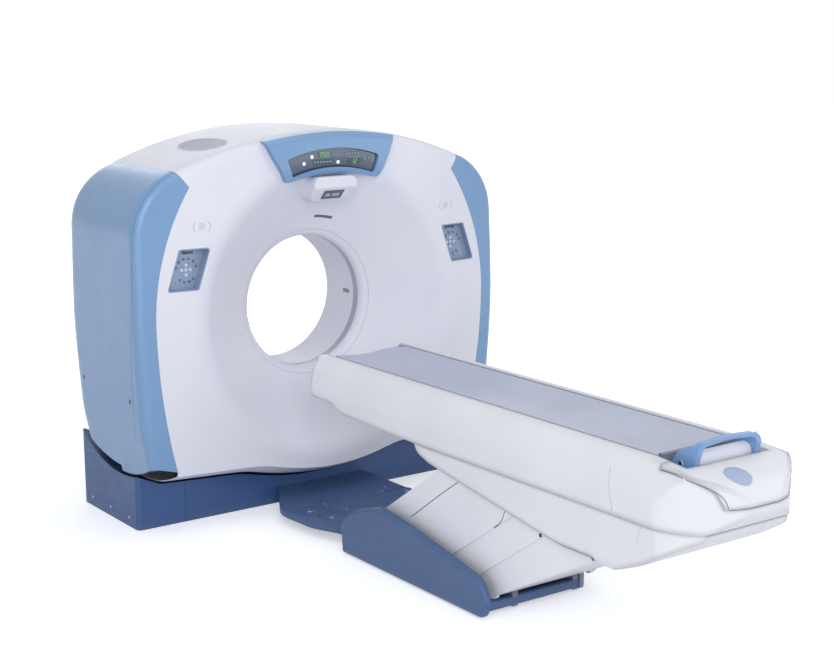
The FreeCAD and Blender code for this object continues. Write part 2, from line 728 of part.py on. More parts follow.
def make_rotor():
    rear = ROTOR_FRONT + ROTOR_THICKNESS
    disc = bore_ring(ROTOR_RADIUS, RACE_INNER_RADIUS, ROTOR_FRONT, rear)
    count = 16
    hole_circle = (RACE_OUTER_RADIUS + ROTOR_RADIUS) / 2
    for index in range(count):
        angle = 2 * math.pi * (index + 0.5) / count
        spot = V(hole_circle * math.cos(angle), 0, ISO_HEIGHT + hole_circle * math.sin(angle))
        disc = disc.cut(rod(ROTOR_HOLE_RADIUS, spot, ALONG, ROTOR_FRONT - 1, rear + 1))
    magnets = bore_ring(STATOR_RADIUS + STATOR_WIDTH, STATOR_RADIUS, rear, rear + MAGNET_RISE)
    save("rotor_disc", disc.fuse(magnets))
    save("drive_stator", bore_ring(STATOR_RADIUS + STATOR_WIDTH, STATOR_RADIUS,
                                   rear + MAGNET_RISE + AIR_GAP, FRAME_FRONT))
    save("slip_ring", bore_ring(RING_RADIUS + RING_WIDTH, RING_RADIUS, rear, rear + RING_THICKNESS))
    middle = RING_RADIUS + RING_WIDTH / 2
    save("brush_block", box(-45, 45, rear + RING_THICKNESS + AIR_GAP / 2, FRAME_FRONT,
                            ISO_HEIGHT + middle - 38, ISO_HEIGHT + middle + 38))


def make_imaging_chain():
    """Tube, collimator and detector, all carried on the front of the rotor."""
    housing = rod(TUBE_RADIUS, V(0, 0, ISO_HEIGHT + TUBE_HEIGHT), ALONG, TUBE_FRONT, ROTOR_FRONT)
    rim = [edge for edge in housing.Edges if edge.Closed and edge.BoundBox.YMax < TUBE_FRONT + 1]
    housing = housing.makeFillet(18.0, rim)
    port = box(-60, 60, -50, ROTOR_FRONT, ISO_HEIGHT + COLLIMATOR_TOP, ISO_HEIGHT + TUBE_HEIGHT - 50)
    save("xray_tube", housing.fuse(port))
    funnel = face_of([(-60, COLLIMATOR_TOP), (60, COLLIMATOR_TOP), (95, COLLIMATOR_BOTTOM),
                      (-95, COLLIMATOR_BOTTOM)], front_view)
    save("collimator", prism(funnel, ALONG, -50, ROTOR_FRONT))

    arc = sector_face(FOCUS_RADIUS, FOCUS_TO_DETECTOR, FOCUS_TO_DETECTOR + DETECTOR_DEPTH,
                      180 - FAN_HALF_ANGLE, 180 + FAN_HALF_ANGLE)
    save("detector", prism(arc, ALONG, -45, ROTOR_FRONT))

    unit = prism(face_of([(430, 150, 25), (655, 150, 25), (655, -150, 25), (430, -150, 25)], front_view),
                 ALONG, -120, ROTOR_FRONT)
    save("tube_cooler", unit)
    save("generator", other_side(unit))


# ---------------------------------------------------------------- plinth
def plinth_block(inset):
    outline = face_of(mirrored([(PLINTH_HALF_WIDTH, PLINTH_REAR, PLINTH_CORNER),
                                (PLINTH_HALF_WIDTH, PLINTH_FRONT, PLINTH_CORNER)]), plan_view)
    if inset:
        outline = outline.makeOffset2D(-inset)
    body = prism(outline, UP, -1.0 if inset else 0.0, PLINTH_TOP)
    return body.cut(sweep_solid(SWEEP_CLEARANCE + inset, sweep_radius(TOE_HEIGHT, 0)))


def post_outline(grow):
    """Side view of a tilt post: a shank, a set-forward neck and a taper up to the trunnion's hub."""
    base = PAD_HEIGHT + BEAM_HEIGHT
    hub_height = ISO_HEIGHT - 60
    hub_half = POST_HUB_RADIUS - 20
    corners = [
        (POST_SHANK[0] - grow, base), (POST_SHANK[0] - grow, POST_KNEES[0] - grow),
        (POST_NECK[0] - grow, POST_NECK_HEIGHT), (-hub_half, hub_height),
        (hub_half, hub_height), (POST_NECK[1] + grow, POST_NECK_HEIGHT + grow),
        (POST_SHANK[1] + grow, POST_KNEES[1] + grow), (POST_SHANK[1] + grow, base),
    ]
    return face_of(corners, side_view)


def tilt_post():
    axis = V(0, 0, ISO_HEIGHT)
    base = PAD_HEIGHT + BEAM_HEIGHT
    post = prism(post_outline(0), ACROSS, POST_INNER, POST_OUTER)
    post = post.fuse(rod(POST_HUB_RADIUS, axis, ACROSS, POST_INNER, POST_OUTER))
    post = post.fuse(box(POST_INNER - 8, POST_OUTER + 8, -20, 140, base, base + PAD_HEIGHT))
    return post.cut(rod(POST_BEARING_RADIUS, axis, ACROSS, POST_INNER - 1, POST_OUTER + 1))


def make_plinth():
    shell = plinth_block(0).cut(plinth_block(PLINTH_WALL))
    split = PLINTH_HALF_WIDTH - END_CAP_WIDTH
    middle = box(-split, split, -FAR, FAR, 0, FAR)
    save("gantry_base_cover", shell.common(middle))
    cap = shell.common(box(split + COVER_SEAM, FAR, -FAR, FAR, 0, FAR))
    hole = prism(post_outline(3.0), ACROSS, POST_INNER - 3, POST_OUTER + 3)
    cap = cap.cut(hole)
    save("base_end_right", cap)
    save("base_end_left", other_side(cap))

    low, high = PAD_HEIGHT, PAD_HEIGHT + BEAM_HEIGHT
    reach = PLINTH_HALF_WIDTH - 20
    front = PLINTH_FRONT + PLINTH_WALL + 10
    rear = PLINTH_REAR - PLINTH_WALL - 10
    frame = box(-reach, reach, front, front + BEAM_WIDTH, low, high)
    frame = frame.fuse(box(-reach, reach, rear - BEAM_WIDTH, rear, low, high))
    frame = frame.fuse(both_sides(box(POST_INNER - 12, reach, front, rear, low, high)))
    half = BEAM_WIDTH / 2
    frame = frame.fuse(box(-half, half, front, rear, low, high))
    frame = frame.fuse(rod(PAD_RADIUS, V(0, 0, 0), UP, 0, low))
    corners = [(x, y) for x in (PAD_INSET - PLINTH_HALF_WIDTH, PLINTH_HALF_WIDTH - PAD_INSET)
               for y in (front + BEAM_WIDTH / 2, rear - BEAM_WIDTH / 2)]
    for x, y in corners:
        frame = frame.fuse(rod(PAD_RADIUS, V(x, y, 0), UP, 0, low))
    for x, y in corners:
        frame = frame.cut(rod(ANCHOR_RADIUS, V(x, y, 0), UP, -1, high + 1))
    swept = sweep_solid(SWEEP_CLEARANCE + PLINTH_WALL + SEAT, sweep_radius(TOE_HEIGHT, 0))
    save("gantry_base_frame", frame.cut(swept))

    right = tilt_post()
    save("tilt_posts", Part.makeCompound([right, other_side(right)]))
    axis = V(0, 0, ISO_HEIGHT)
    race = ring(POST_BEARING_RADIUS - BEARING_GAP, TRUNNION_RADIUS + BEARING_GAP, axis, ACROSS,
                POST_INNER + 4, POST_OUTER - 4)
    save("trunnion_bearings", Part.makeCompound([race, other_side(race)]))
    drive = ring(95.0, TRUNNION_RADIUS + BEARING_GAP, axis, ACROSS,
                 -POST_OUTER - GEARBOX_WIDTH, -POST_OUTER)
    motor = rod(22.0, V(-POST_OUTER - GEARBOX_WIDTH / 2, 0, ISO_HEIGHT), V(0, 0, -1), 80, 290)
    save("tilt_gearbox", drive.fuse(motor))


# ---------------------------------------------------------------- table foot
def skirt_outline(heel):
    """Side view of a foot skirt, from its toe over the hump to a rounded heel at a given place."""
    fall = 275 - 0.194 * (-1640 - (heel + 65))
    return [
        (-1070, 4, 10), (-1058, 165, 60), (-1180, 245, 100), (-1380, 308, 200), (-1640, 275, 600),
        (heel + 65, fall, 80), (heel, 100, 70), (heel + 30, 4, 45),
    ]


def foot_skirt(heel):
    """Thin-walled skirt standing beside the base plate, open towards it."""
    face = face_of(skirt_outline(heel), side_view)
    outer = prism(face, ACROSS, SKIRT_INNER, SKIRT_HALF_WIDTH)
    rim = [edge for edge in outer.Edges if edge.BoundBox.XMin > SKIRT_HALF_WIDTH - 0.1]
    outer = outer.makeFillet(SKIRT_ROUND, rim)
    hollow = prism(face.makeOffset2D(-SKIRT_WALL - 6), ACROSS, SKIRT_INNER - 1,
                   SKIRT_HALF_WIDTH - SKIRT_WALL)
    return outer.cut(hollow)


def crossbar_face(grow):
    low, high = BAR_LOW - grow, BAR_HIGH + grow
    return face_of([(BAR_REAR - grow, low, 12), (BAR_REAR - grow, high, 14),
                    (BAR_FRONT + grow, high, 10), (BAR_FRONT + grow, low, 8)], side_view)


def make_skirts():
    save("foot_skirt_right", foot_skirt(RIGHT_HEEL))
    save("foot_skirt_left", other_side(foot_skirt(LEFT_HEEL)))
    save("rear_crossbar", prism(crossbar_face(0), ACROSS, -SKIRT_INNER + SEAT, CROSSBAR_END - SEAT))
    top = TAIL_PIVOT_HEIGHT + SMALL_SHAFT_RADIUS + 8
    cap = face_of([(BAR_REAR - 6, BAR_LOW - 5, 16), (BAR_REAR - 6, top, 20),
                   (BAR_FRONT + 6, top, 16), (BAR_FRONT + 6, BAR_LOW - 5, 10)], side_view)
    cap = prism(cap, ACROSS, CROSSBAR_END, CROSSBAR_END + 30)
    end = [edge for edge in cap.Edges if edge.BoundBox.XMin > CROSSBAR_END + 29]
    shaft = rod(SMALL_SHAFT_RADIUS + SEAT, side_view(TAIL_PIVOT, TAIL_PIVOT_HEIGHT), ACROSS, 0, FAR)
    save("crossbar_cap", cap.makeChamfer(7.0, end).cut(shaft))


def make_table_base():
    edge = SKIRT_INNER - SEAT
    plate = box(-edge, edge, RIGHT_HEEL + 20, -1130, 0, FLOOR_PLATE)
    plate = plate.fuse(box(-edge, CHEEK_INNER + CHEEK_THICKNESS, PLATE_REAR, RIGHT_HEEL + 20, 0,
                           FLOOR_PLATE))
    high = PIVOT_HEIGHT + 40
    cheek = face_of([(-1385, FLOOR_PLATE), (-1400, high, 40), (-2030, high, 40), (-2100, 122, 30),
                     (-2146, 112, 20), (-2146, FLOOR_PLATE)], side_view)
    cheeks = both_sides(prism(cheek, ACROSS, CHEEK_INNER, CHEEK_INNER + CHEEK_THICKNESS))
    tie = box(-CHEEK_INNER, CHEEK_INNER, -1780, -1760, FLOOR_PLATE, 110)
    frame = plate.fuse([cheeks, tie])
    rib = box(edge - 24, edge, RIGHT_HEEL + 70, -1180, FLOOR_PLATE, 48)
    frame = frame.fuse(both_sides(rib)).cut(prism(crossbar_face(SEAT), ACROSS, -FAR, FAR))
    for y, z, radius in base_shafts():
        frame = frame.cut(rod(radius + 0.05, V(0, y, z), ACROSS, -FAR, FAR))
    for x in (-270, 270):
        for y in (-1860, -1200):
            frame = frame.cut(rod(ANCHOR_RADIUS, V(x, y, 0), UP, -1, FLOOR_PLATE + 1))
    save("table_base_frame", frame)
    half = [ARM_INNER + ARM_THICKNESS + 4, SHELL_HALF_WIDTH - SHELL_STEP - SHELL_WALL - SEAT,
            ARM_INNER + ARM_THICKNESS + 4, SHELL_HALF_WIDTH - 2 * SHELL_STEP - SHELL_WALL - SEAT]
    shafts = [rod(radius, V(0, y, z), ACROSS, -reach, reach)
              for (y, z, radius), reach in zip(base_shafts(), half)]
    save("base_pivot_shafts", Part.makeCompound(shafts))
    drive = rod(58.0, V(0, FRONT_PIVOT, PIVOT_HEIGHT), ACROSS, -120, 60)
    drive = drive.fuse(box(-100, 40, FRONT_PIVOT - 60, FRONT_PIVOT + 60, FLOOR_PLATE, PIVOT_HEIGHT))
    drive = drive.cut(rod(SHAFT_RADIUS + 0.05, V(0, FRONT_PIVOT, PIVOT_HEIGHT), ACROSS, -FAR, FAR))
    save("lift_drive", drive)


def base_shafts():
    return [(FRONT_PIVOT, PIVOT_HEIGHT, SHAFT_RADIUS), (MIDDLE_PIVOT, PIVOT_HEIGHT, SMALL_SHAFT_RADIUS),
            (REAR_PIVOT, PIVOT_HEIGHT, SHAFT_RADIUS), (TAIL_PIVOT, TAIL_PIVOT_HEIGHT, SMALL_SHAFT_RADIUS)]


# ---------------------------------------------------------------- foot pedals
def housing_outline():
    """Plan of the pedal platform, which bulges out to the left of the table."""
    front, rear = PLINTH_FRONT - SEAT, -1129.7
    return face_of([(-205, front, 20), (PLATE_HALF_WIDTH, front, 20), (PLATE_HALF_WIDTH, -900, 120),
                    (PLATE_HALF_WIDTH - 30, rear), (-305, rear), (-310, -945, 120),
                    (-376, -790, 200), (-392, -510, 250)], plan_view)


def pedal_plan(axis, y, grow, outward):
    inner = axis - 14 - grow
    outer = axis + PEDAL_WIDTH + outward
    half = PEDAL_LENGTH / 2 + grow
    return face_of([(inner, y - half, 8), (outer, y - half, 22), (outer, y + half, 22), (inner, y + half, 8)],
                   plan_view)


def pedal_rod(axis, y, radius, overhang):
    """Rod along a pedal's hinge line."""
    centre = V(axis, y, HOUSING_TOP - PEDAL_THICKNESS + 1)
    reach = PEDAL_LENGTH / 2 + overhang
    return rod(radius, centre, ALONG, -reach, reach)


def make_pedals():
    front, rear = PLINTH_FRONT - SEAT, -1129.7
    housing = prism(housing_outline(), UP, HOUSING_UNDERSIDE, HOUSING_TOP)
    rim = [edge for edge in housing.Edges if edge.BoundBox.ZMin > HOUSING_TOP - 0.1]
    housing = housing.makeFillet(10.0, rim)
    housing = housing.fuse(box(-190, PLATE_HALF_WIDTH - 50, rear, front, 0, HOUSING_UNDERSIDE))
    floor = HOUSING_TOP - PEDAL_WELL
    for number, (axis, y) in enumerate(PEDALS, 1):
        right_well = prism(pedal_plan(axis, y, 3.0, 150.0), UP, floor, FAR)
        left_well = other_side(prism(pedal_plan(axis, y, 3.0, 3.0), UP, floor, FAR))
        pin_hole = both_sides(pedal_rod(axis, y, PEDAL_PIN_RADIUS + BEARING_GAP, 14))
        housing = housing.cut([right_well, left_well, pin_hole])
        plate = prism(pedal_plan(axis, y, 0, 0), UP, HOUSING_TOP - PEDAL_THICKNESS, HOUSING_TOP)
        top = [edge for edge in plate.Edges if edge.BoundBox.ZMin > HOUSING_TOP - 0.1]
        plate = plate.makeFillet(4.0, top)
        pedal = plate.fuse([pedal_rod(axis, y, PEDAL_PIN_RADIUS, 12),
                            pedal_rod(axis, y, PEDAL_PIN_RADIUS + 4, 0)])
        save("pedal_right_%d" % number, pedal)
        save("pedal_left_%d" % number, other_side(pedal))
    save("pedal_housing", housing)


# ---------------------------------------------------------------- leg: arms and shells
def arm_pair(pivot_y, ties, tie_reach):
    """Two parallel arms with tie rods; each tie is its place along the arm and below its middle."""
    place = along_arm(pivot_y, PIVOT_HEIGHT)
    half = ARM_HALF_HEIGHT
    face = face_of([(-half, -half, half - 1), (ARM_LENGTH + half, -half, half - 1),
                    (ARM_LENGTH + half, half, half - 1), (-half, half, half - 1)], place)
    arm = prism(face, ACROSS, ARM_INNER, ARM_INNER + ARM_THICKNESS)
    pair = both_sides(arm)
    for u in (0, ARM_LENGTH):
        pair = pair.cut(rod(SHAFT_RADIUS + BEARING_GAP, place(u, 0), ACROSS, -FAR, FAR))
    for u, v in ties:
        pair = pair.fuse(rod(TIE_RADIUS, place(u, v), ACROSS, -tie_reach, tie_reach))
        if v:
            web = face_of([(u - 40, 0), (u + 40, 0), (u + TIE_RADIUS, v), (u - TIE_RADIUS, v)], place)
            pair = pair.fuse(both_sides(prism(web, ACROSS, ARM_INNER, ARM_INNER + ARM_THICKNESS)))
    return pair


def shell(corners, inner_corners, place, half_width):
    outer = prism(face_of(corners, place), ACROSS, -half_width, half_width)
    inside = half_width - SHELL_WALL
    return outer.cut(prism(face_of(inner_corners, place), ACROSS, -inside, inside))


def make_leg():
    front = along_arm(FRONT_PIVOT, PIVOT_HEIGHT)
    inner_front = SHELL_HALF_WIDTH - SHELL_WALL - SEAT
    save("lift_arm_front", arm_pair(FRONT_PIVOT, [(450, -60), (150, -60)], inner_front))
    save("leg_shell_front", shell(
        [(-40, -186, 12), (600, -186, 12), (930, 174), (260, 174)],
        [(-90, -183), (600 + 40, -183), (960 + 40, 230), (260 - 60, 230)], front, SHELL_HALF_WIDTH))

    middle = along_arm(MIDDLE_PIVOT, PIVOT_HEIGHT)
    width = SHELL_HALF_WIDTH - SHELL_STEP
    plates = shell([(-45, -140, 10), (700, -140, 10), (760, 70, 10), (-45, 70, 10)],
                   [(-90, -190), (900, -190), (900, 190), (-90, 190)], middle, width)
    boss = rod(30.0, middle(0, 0), ACROSS, width - 26, width - SHELL_WALL)
    tie = rod(8.0, middle(400, -60), ACROSS, -width + SHELL_WALL, width - SHELL_WALL)
    plates = plates.fuse([both_sides(boss), tie])
    save("leg_shell_middle", plates.cut(rod(SMALL_SHAFT_RADIUS + BEARING_GAP, middle(0, 0), ACROSS,
                                            -width + SHELL_WALL, width - SHELL_WALL)))

    save("lift_arm_rear", arm_pair(REAR_PIVOT, [(520, 0)], ARM_INNER + 5))

    width = SHELL_HALF_WIDTH - 2 * SHELL_STEP
    outline = [(-2160, 90), (-2768, 416), (-2600, 590, 30), (-1986, 176, 20), (-2100, 65, 20),
               (-2135, 65, 15)]
    inside = [(-2158, 40), (-2158, 95.4), (-2800, 439.6), (-2670, 700), (-1900, 176), (-1900, 40)]
    plates = shell(outline, inside, side_view, width)
    pivot = V(0, TAIL_PIVOT, TAIL_PIVOT_HEIGHT)
    boss = rod(22.0, pivot, ACROSS, width - 24, width - SHELL_WALL)
    plates = plates.fuse(both_sides(boss))
    hole = rod(SMALL_SHAFT_RADIUS + BEARING_GAP, pivot, ACROSS, -width + SHELL_WALL, width - SHELL_WALL)
    save("leg_shell_rear", plates.cut(hole))


# ---------------------------------------------------------------- table top
def casing_section():
    return face_of(mirrored([(262, CASING_TOP, 14), (303, 846, 70), (CASING_HALF_WIDTH, 762, 200),
                             (CASING_HALF_WIDTH - 6, CASING_SEAM - 60)]), end_view)


def casing_side():
    return face_of([(CASING_NOSE, CASING_TOP, 12), (CASING_NOSE - 4, 850, 60), (-728, 709, 14),
                    (-901, 706, 30), (-990, 667, 40), (-1594, CASING_SEAM, 60), (-3325, CASING_SEAM, 60),
                    (CASING_TAIL + 4, 722, 70), (CASING_TAIL, 785, 80), (-3365, 845, 110),
                    (-3250, 886, 300), (-3050, CASING_TOP, 300)], side_view)


def casing_plan():
    wide = CASING_HALF_WIDTH + 2
    return face_of(mirrored([(wide, CASING_NOSE + 4, 45), (wide, CASING_TAIL - 4, 320)]), plan_view)


def casing_block(inset):
    section, side, plan = casing_section(), casing_side(), casing_plan()
    if inset:
        section, side, plan = [face.makeOffset2D(-inset) for face in (section, side, plan)]
    block = prism(section, ALONG, -3 * FAR, 0)
    block = block.common(prism(side, ACROSS, -FAR, FAR))
    return block.common(prism(plan, UP, 0, 2 * FAR))


def hatch_zone(grow):
    """Region of the tail cover, its sides following the casing's shoulders."""
    low = HATCH_BOTTOM - grow
    half = [(HATCH_HALF_WIDTH + grow + 14, FAR), (HATCH_HALF_WIDTH + grow, 882.0, 40.0),
            (HATCH_HALF_WIDTH + grow - 80, 825.0, 60.0), (HATCH_HALF_WIDTH + grow - 112, low, 10.0)]
    return prism(face_of(mirrored(half), end_view), ALONG, 3 * -FAR, HATCH_FRONT + grow)


def make_upper_casing():
    wall = CASING_WALL
    channel = box(-CHANNEL_HALF_WIDTH, CHANNEL_HALF_WIDTH, CHANNEL_TAIL, 0, DECK_TOP + SEAT, FAR)
    around = box(-CHANNEL_HALF_WIDTH - wall, CHANNEL_HALF_WIDTH + wall, CHANNEL_TAIL - wall, 0,
                 DECK_TOP + SEAT, FAR)
    pocket = box(-CHANNEL_HALF_WIDTH, CHANNEL_HALF_WIDTH, POCKET_TAIL, CHANNEL_TAIL, POCKET_FLOOR, FAR)
    around_pocket = box(-CHANNEL_HALF_WIDTH - wall, CHANNEL_HALF_WIDTH + wall, POCKET_TAIL - wall,
                        CHANNEL_TAIL, POCKET_FLOOR - wall, FAR)
    hollow = casing_block(wall).cut([around, around_pocket])
    lower_open = box(-DECK_HALF_WIDTH, DECK_HALF_WIDTH, -3180, LEG_OPENING_FRONT, 600, CASING_SEAM + 20)
    case = casing_block(0).cut([hollow, channel, pocket, lower_open])
    save("upper_casing", case.cut(hatch_zone(COVER_SEAM)))
    save("tail_cover", case.common(hatch_zone(0)))


def make_lower_casing():
    top = CASING_SEAM - COVER_SEAM
    section = mirrored([(CASING_HALF_WIDTH - 8, top + 40), (314, 520), (309, 402, 68)])
    side = [(-1585, top + 40), (-1585, top, 20), (-1612, 612, 60), (-1690, 585, 60), (-1762, 572, 60),
            (-2765, 411, 60), (-2850, 398, 120), (-3080, 492, 400), (-3320, top - 20, 60), (-3320, top + 40)]

    def solid(inset):
        faces = [face_of(section, end_view), face_of(side, side_view)]
        if inset:
            faces = [face.makeOffset2D(-inset) for face in faces]
        block = prism(faces[0], ALONG, -3 * FAR, 0).common(prism(faces[1], ACROSS, -FAR, FAR))
        plan = casing_plan().makeOffset2D(-CASING_SETBACK - inset)
        return block.common(prism(plan, UP, 0, FAR))

    shape = solid(0).cut(solid(CASING_WALL))
    half = SHELL_HALF_WIDTH + 3.4
    opening = box(-half, half, LEG_OPENING_REAR, 0, 0, top + 1)
    save("lower_casing", shape.cut(opening).common(box(-FAR, FAR, -3 * FAR, 0, 0, top)))


def make_table_frame():
    top_z = PIVOT_HEIGHT + ARM_LENGTH * math.sin(math.radians(LIFT_ANGLE))
    step = ARM_LENGTH * math.cos(math.radians(LIFT_ANGLE))
    deck_low = DECK_TOP - DECK_THICKNESS
    deck = box(-DECK_HALF_WIDTH, DECK_HALF_WIDTH, CHANNEL_TAIL - 40, CASING_NOSE - 20, deck_low, DECK_TOP)
    beam = box(235, 275, CHANNEL_TAIL - 40, -790, deck_low - BEAM_DEPTH, deck_low)
    frame = deck.fuse(both_sides(beam))
    front_y, rear_y = FRONT_PIVOT - step, REAR_PIVOT - step
    hanger = face_of([(front_y + 60, deck_low), (front_y + 45, top_z - 42, 40), (rear_y - 45, top_z - 42, 40),
                      (rear_y - 60, deck_low)], side_view)
    frame = frame.fuse(both_sides(prism(hanger, ACROSS, CHEEK_INNER, CHEEK_INNER + CHEEK_THICKNESS)))
    reach = ARM_INNER + ARM_THICKNESS + 4
    for y in (front_y, rear_y):
        frame = frame.fuse(rod(SHAFT_RADIUS, V(0, y, top_z), ACROSS, -reach, reach))
    save("table_frame", frame)
    rail = box(RAIL_INNER, RAIL_INNER + RAIL_WIDTH, CHANNEL_TAIL + 10, CASING_NOSE - 20, DECK_TOP,
               DECK_TOP + RAIL_HEIGHT)
    save("guide_rails", Part.makeCompound([rail, other_side(rail)]))
    drive = box(-90, 90, -1500, -1250, deck_low - 110, deck_low)
    drive = drive.fuse(rod(40.0, V(0, -1375, deck_low - 60), ACROSS, 90, 200))
    save("cradle_drive", drive)


def make_cradle():
    top = CASING_TOP
    low = top - CRADLE_EDGE
    half = CRADLE_HALF_WIDTH
    edges = [
        Part.Arc(end_view(-half, top), end_view(0, top - CRADLE_SAG), end_view(half, top)).toShape(),
        Part.LineSegment(end_view(half, top), end_view(half, low)).toShape(),
        Part.Arc(end_view(half, low), end_view(0, low - CRADLE_BOTTOM_SAG), end_view(-half, low)).toShape(),
        Part.LineSegment(end_view(-half, low), end_view(-half, top)).toShape(),
    ]
    body = prism(Part.Face(Part.Wire(edges)), ALONG, CRADLE_NOSE - CRADLE_LENGTH, CRADLE_NOSE)
    plan = face_of(mirrored([(half + 1, CRADLE_NOSE - CRADLE_LENGTH), (half + 1, CRADLE_NOSE, 120)]), plan_view)
    body = body.common(prism(plan, UP, 0, 2 * FAR))
    rail_top = DECK_TOP + RAIL_HEIGHT
    runner = box(RAIL_INNER + 2, RAIL_INNER + RAIL_WIDTH - 2, CRADLE_NOSE - CRADLE_LENGTH + 30,
                 CRADLE_NOSE - 900, rail_top + SEAT, low - CRADLE_BOTTOM_SAG + 12)
    save("cradle", body.fuse(both_sides(runner)))
    tail = CRADLE_NOSE - CRADLE_LENGTH
    clamp = face_of([(tail - SEAT, low - 22), (tail - SEAT, top + 6, 5), (tail - BRACKET_LENGTH, top + 6, 5),
                     (tail - BRACKET_LENGTH, low - 22)], side_view)
    save("cradle_end_bar", prism(clamp, ACROSS, -half + 12, half - 12))


def handle_view(y, z):
    """Side view measured from the handle's pivot."""
    return V(0, HANDLE_AXIS + y, HANDLE_HEIGHT + z)


def make_handle():
    pivot = handle_view(0, 0)
    drum = rod(DRUM_RADIUS, handle_view(-DRUM_SETBACK, 4), ACROSS, -DRUM_HALF_WIDTH, DRUM_HALF_WIDTH)
    drum_y = HANDLE_AXIS - DRUM_SETBACK
    drum = drum.fuse(box(-DRUM_HALF_WIDTH, DRUM_HALF_WIDTH, drum_y - 28, drum_y + 28,
                         POCKET_FLOOR + SEAT, HANDLE_HEIGHT))
    inner = DRUM_HALF_WIDTH + SEAT
    outer = inner + FOOT_DISC_WIDTH
    stub = rod(STUB_RADIUS, pivot, ACROSS, DRUM_HALF_WIDTH, outer + 4)
    save("handle_mount", drum.fuse(both_sides(stub)))

    plate = face_of([(60, -14, 8), (18, 43, 20), (-54, 82, 10), (-84, 54, 12), (-70, -12, 14),
                     (-6, -20, 50)], handle_view)
    cheek = prism(plate, ACROSS, inner, outer)
    high = HANDLE_HEIGHT + 98.0
    thick = 14.0
    arch = face_of(mirrored([(outer, high - 12, 46), (outer, HANDLE_HEIGHT + 40)], [(0, high, 500)]),
                   end_view)
    hollow = face_of(mirrored([(inner, high - 12 - thick, 34), (inner, HANDLE_HEIGHT)],
                              [(0, high - thick, 500)]), end_view)
    band = prism(arch.cut(hollow), ALONG, HANDLE_AXIS - 84, HANDLE_AXIS - 54)
    handle = band.fuse(both_sides(cheek))
    handle = handle.cut(rod(STUB_RADIUS + SEAT, pivot, ACROSS, -FAR, FAR))
    save("release_handle", handle)


def main():
    os.makedirs("parts", exist_ok=True)
    make_covers()
    make_tilt_frame()
    make_cover_posts()
    make_bearing()
    make_rotor()
    make_imaging_chain()
    make_plinth()
    make_skirts()
    make_table_base()
    make_pedals()
    make_leg()
    make_upper_casing()
    make_lower_casing()
    make_table_frame()
    make_cradle()
    make_handle()


main()
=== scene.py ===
"""Finishes and fine detail of a CT scanner and its patient table, in metres, in the part's frame."""
import json
import math

import bmesh
import bpy
from mathutils import Matrix, Vector
from mathutils.bvhtree import BVHTree


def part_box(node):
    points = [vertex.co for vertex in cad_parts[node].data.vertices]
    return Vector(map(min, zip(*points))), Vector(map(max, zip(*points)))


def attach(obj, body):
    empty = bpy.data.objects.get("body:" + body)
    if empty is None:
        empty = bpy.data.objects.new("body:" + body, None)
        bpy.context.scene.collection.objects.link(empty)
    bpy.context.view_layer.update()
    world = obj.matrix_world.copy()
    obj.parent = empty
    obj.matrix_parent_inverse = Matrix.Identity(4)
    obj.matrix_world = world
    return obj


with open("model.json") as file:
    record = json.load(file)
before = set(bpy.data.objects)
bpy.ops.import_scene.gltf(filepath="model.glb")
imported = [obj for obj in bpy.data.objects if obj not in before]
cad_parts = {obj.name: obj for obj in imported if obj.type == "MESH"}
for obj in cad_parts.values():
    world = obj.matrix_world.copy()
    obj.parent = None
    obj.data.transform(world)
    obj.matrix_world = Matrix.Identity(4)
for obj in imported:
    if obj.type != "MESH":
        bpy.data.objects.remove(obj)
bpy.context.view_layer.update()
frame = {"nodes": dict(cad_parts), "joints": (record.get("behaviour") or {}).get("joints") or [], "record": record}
nodes = frame["nodes"]
joints = {joint["name"]: joint for joint in frame["joints"]}

# bodies that carry the added pieces
GANTRY = "tilting_gantry"
FLOOR_UNIT = "floor_unit"
TABLE = "table_top"
CRADLE = "patient_cradle"
FRONT_ARM = "front_lift_arm"
MIDDLE_SHELL = "middle_leg_shell"

# directions; the table lies before the gantry, towards -Y
ACROSS = Vector((1, 0, 0))
BACK = Vector((0, 1, 0))
UP = Vector((0, 0, 1))
TOWARDS_TABLE = Vector((0, -1, 0))
SIDES = (("left", -1), ("right", 1))

ISO = joints["gantry_tilt"]["pos_m"][2]      # height of the bore axis
FRONT_PLANE = -0.45          # marks on the gantry's front are laid from here
KEYPAD_PLANE = -0.37         # marks on the keypads are laid from here

# how a detail lies on a surface
SUNK = 0.0006                # its rim dips this far below the surface
REACH = 0.08                 # the surface is looked for this far either side of a point
PRINTED = 0.0004             # lift of ink and joint lines
PLATED = 0.0005              # lift of thin plates
GLAZED = 0.0008              # lift of windows and lamps
ON_GLASS = 0.0014            # lift of figures and marks over those windows
RIM_SHARE = 1.02             # a patch's sunk rim, as a share of its outline
RIBBON_TOP = 0.7             # the raised part of a ribbon, as a share of its width
SHARP = math.radians(35)     # faces that meet at more than this keep a sharp edge
SCREW_RADIUS = 0.006
SCREW_DOME = 0.0008
FINE_LINE = 0.003
JOINT_LINE = 0.0035
LEG_LINE = 0.005

# camera, fitted to the photograph
CAMERA_PLACE = (-4.396, -7.293, 2.554)
CAMERA_AZIMUTH = -35.688
CAMERA_ELEVATION = 11.300
CAMERA_ROLL = -0.264
FOCAL_PIXELS = 1597.4
IMAGE_WIDTH = 834
SENSOR = 36.0


# ---------------------------------------------------------------- materials
def linear(red, green, blue):
    """Linear colour from display values of 0 to 255, by the sRGB curve."""
    def channel(value):
        share = value / 255
        return share / 12.92 if share <= 0.04045 else ((share + 0.055) / 1.055) ** 2.4
    return (channel(red), channel(green), channel(blue), 1.0)


def scaled(colour, factor):
    """Lighter or darker version of a linear colour."""
    return tuple(min(1.0, part * factor) for part in colour[:3]) + (1.0,)


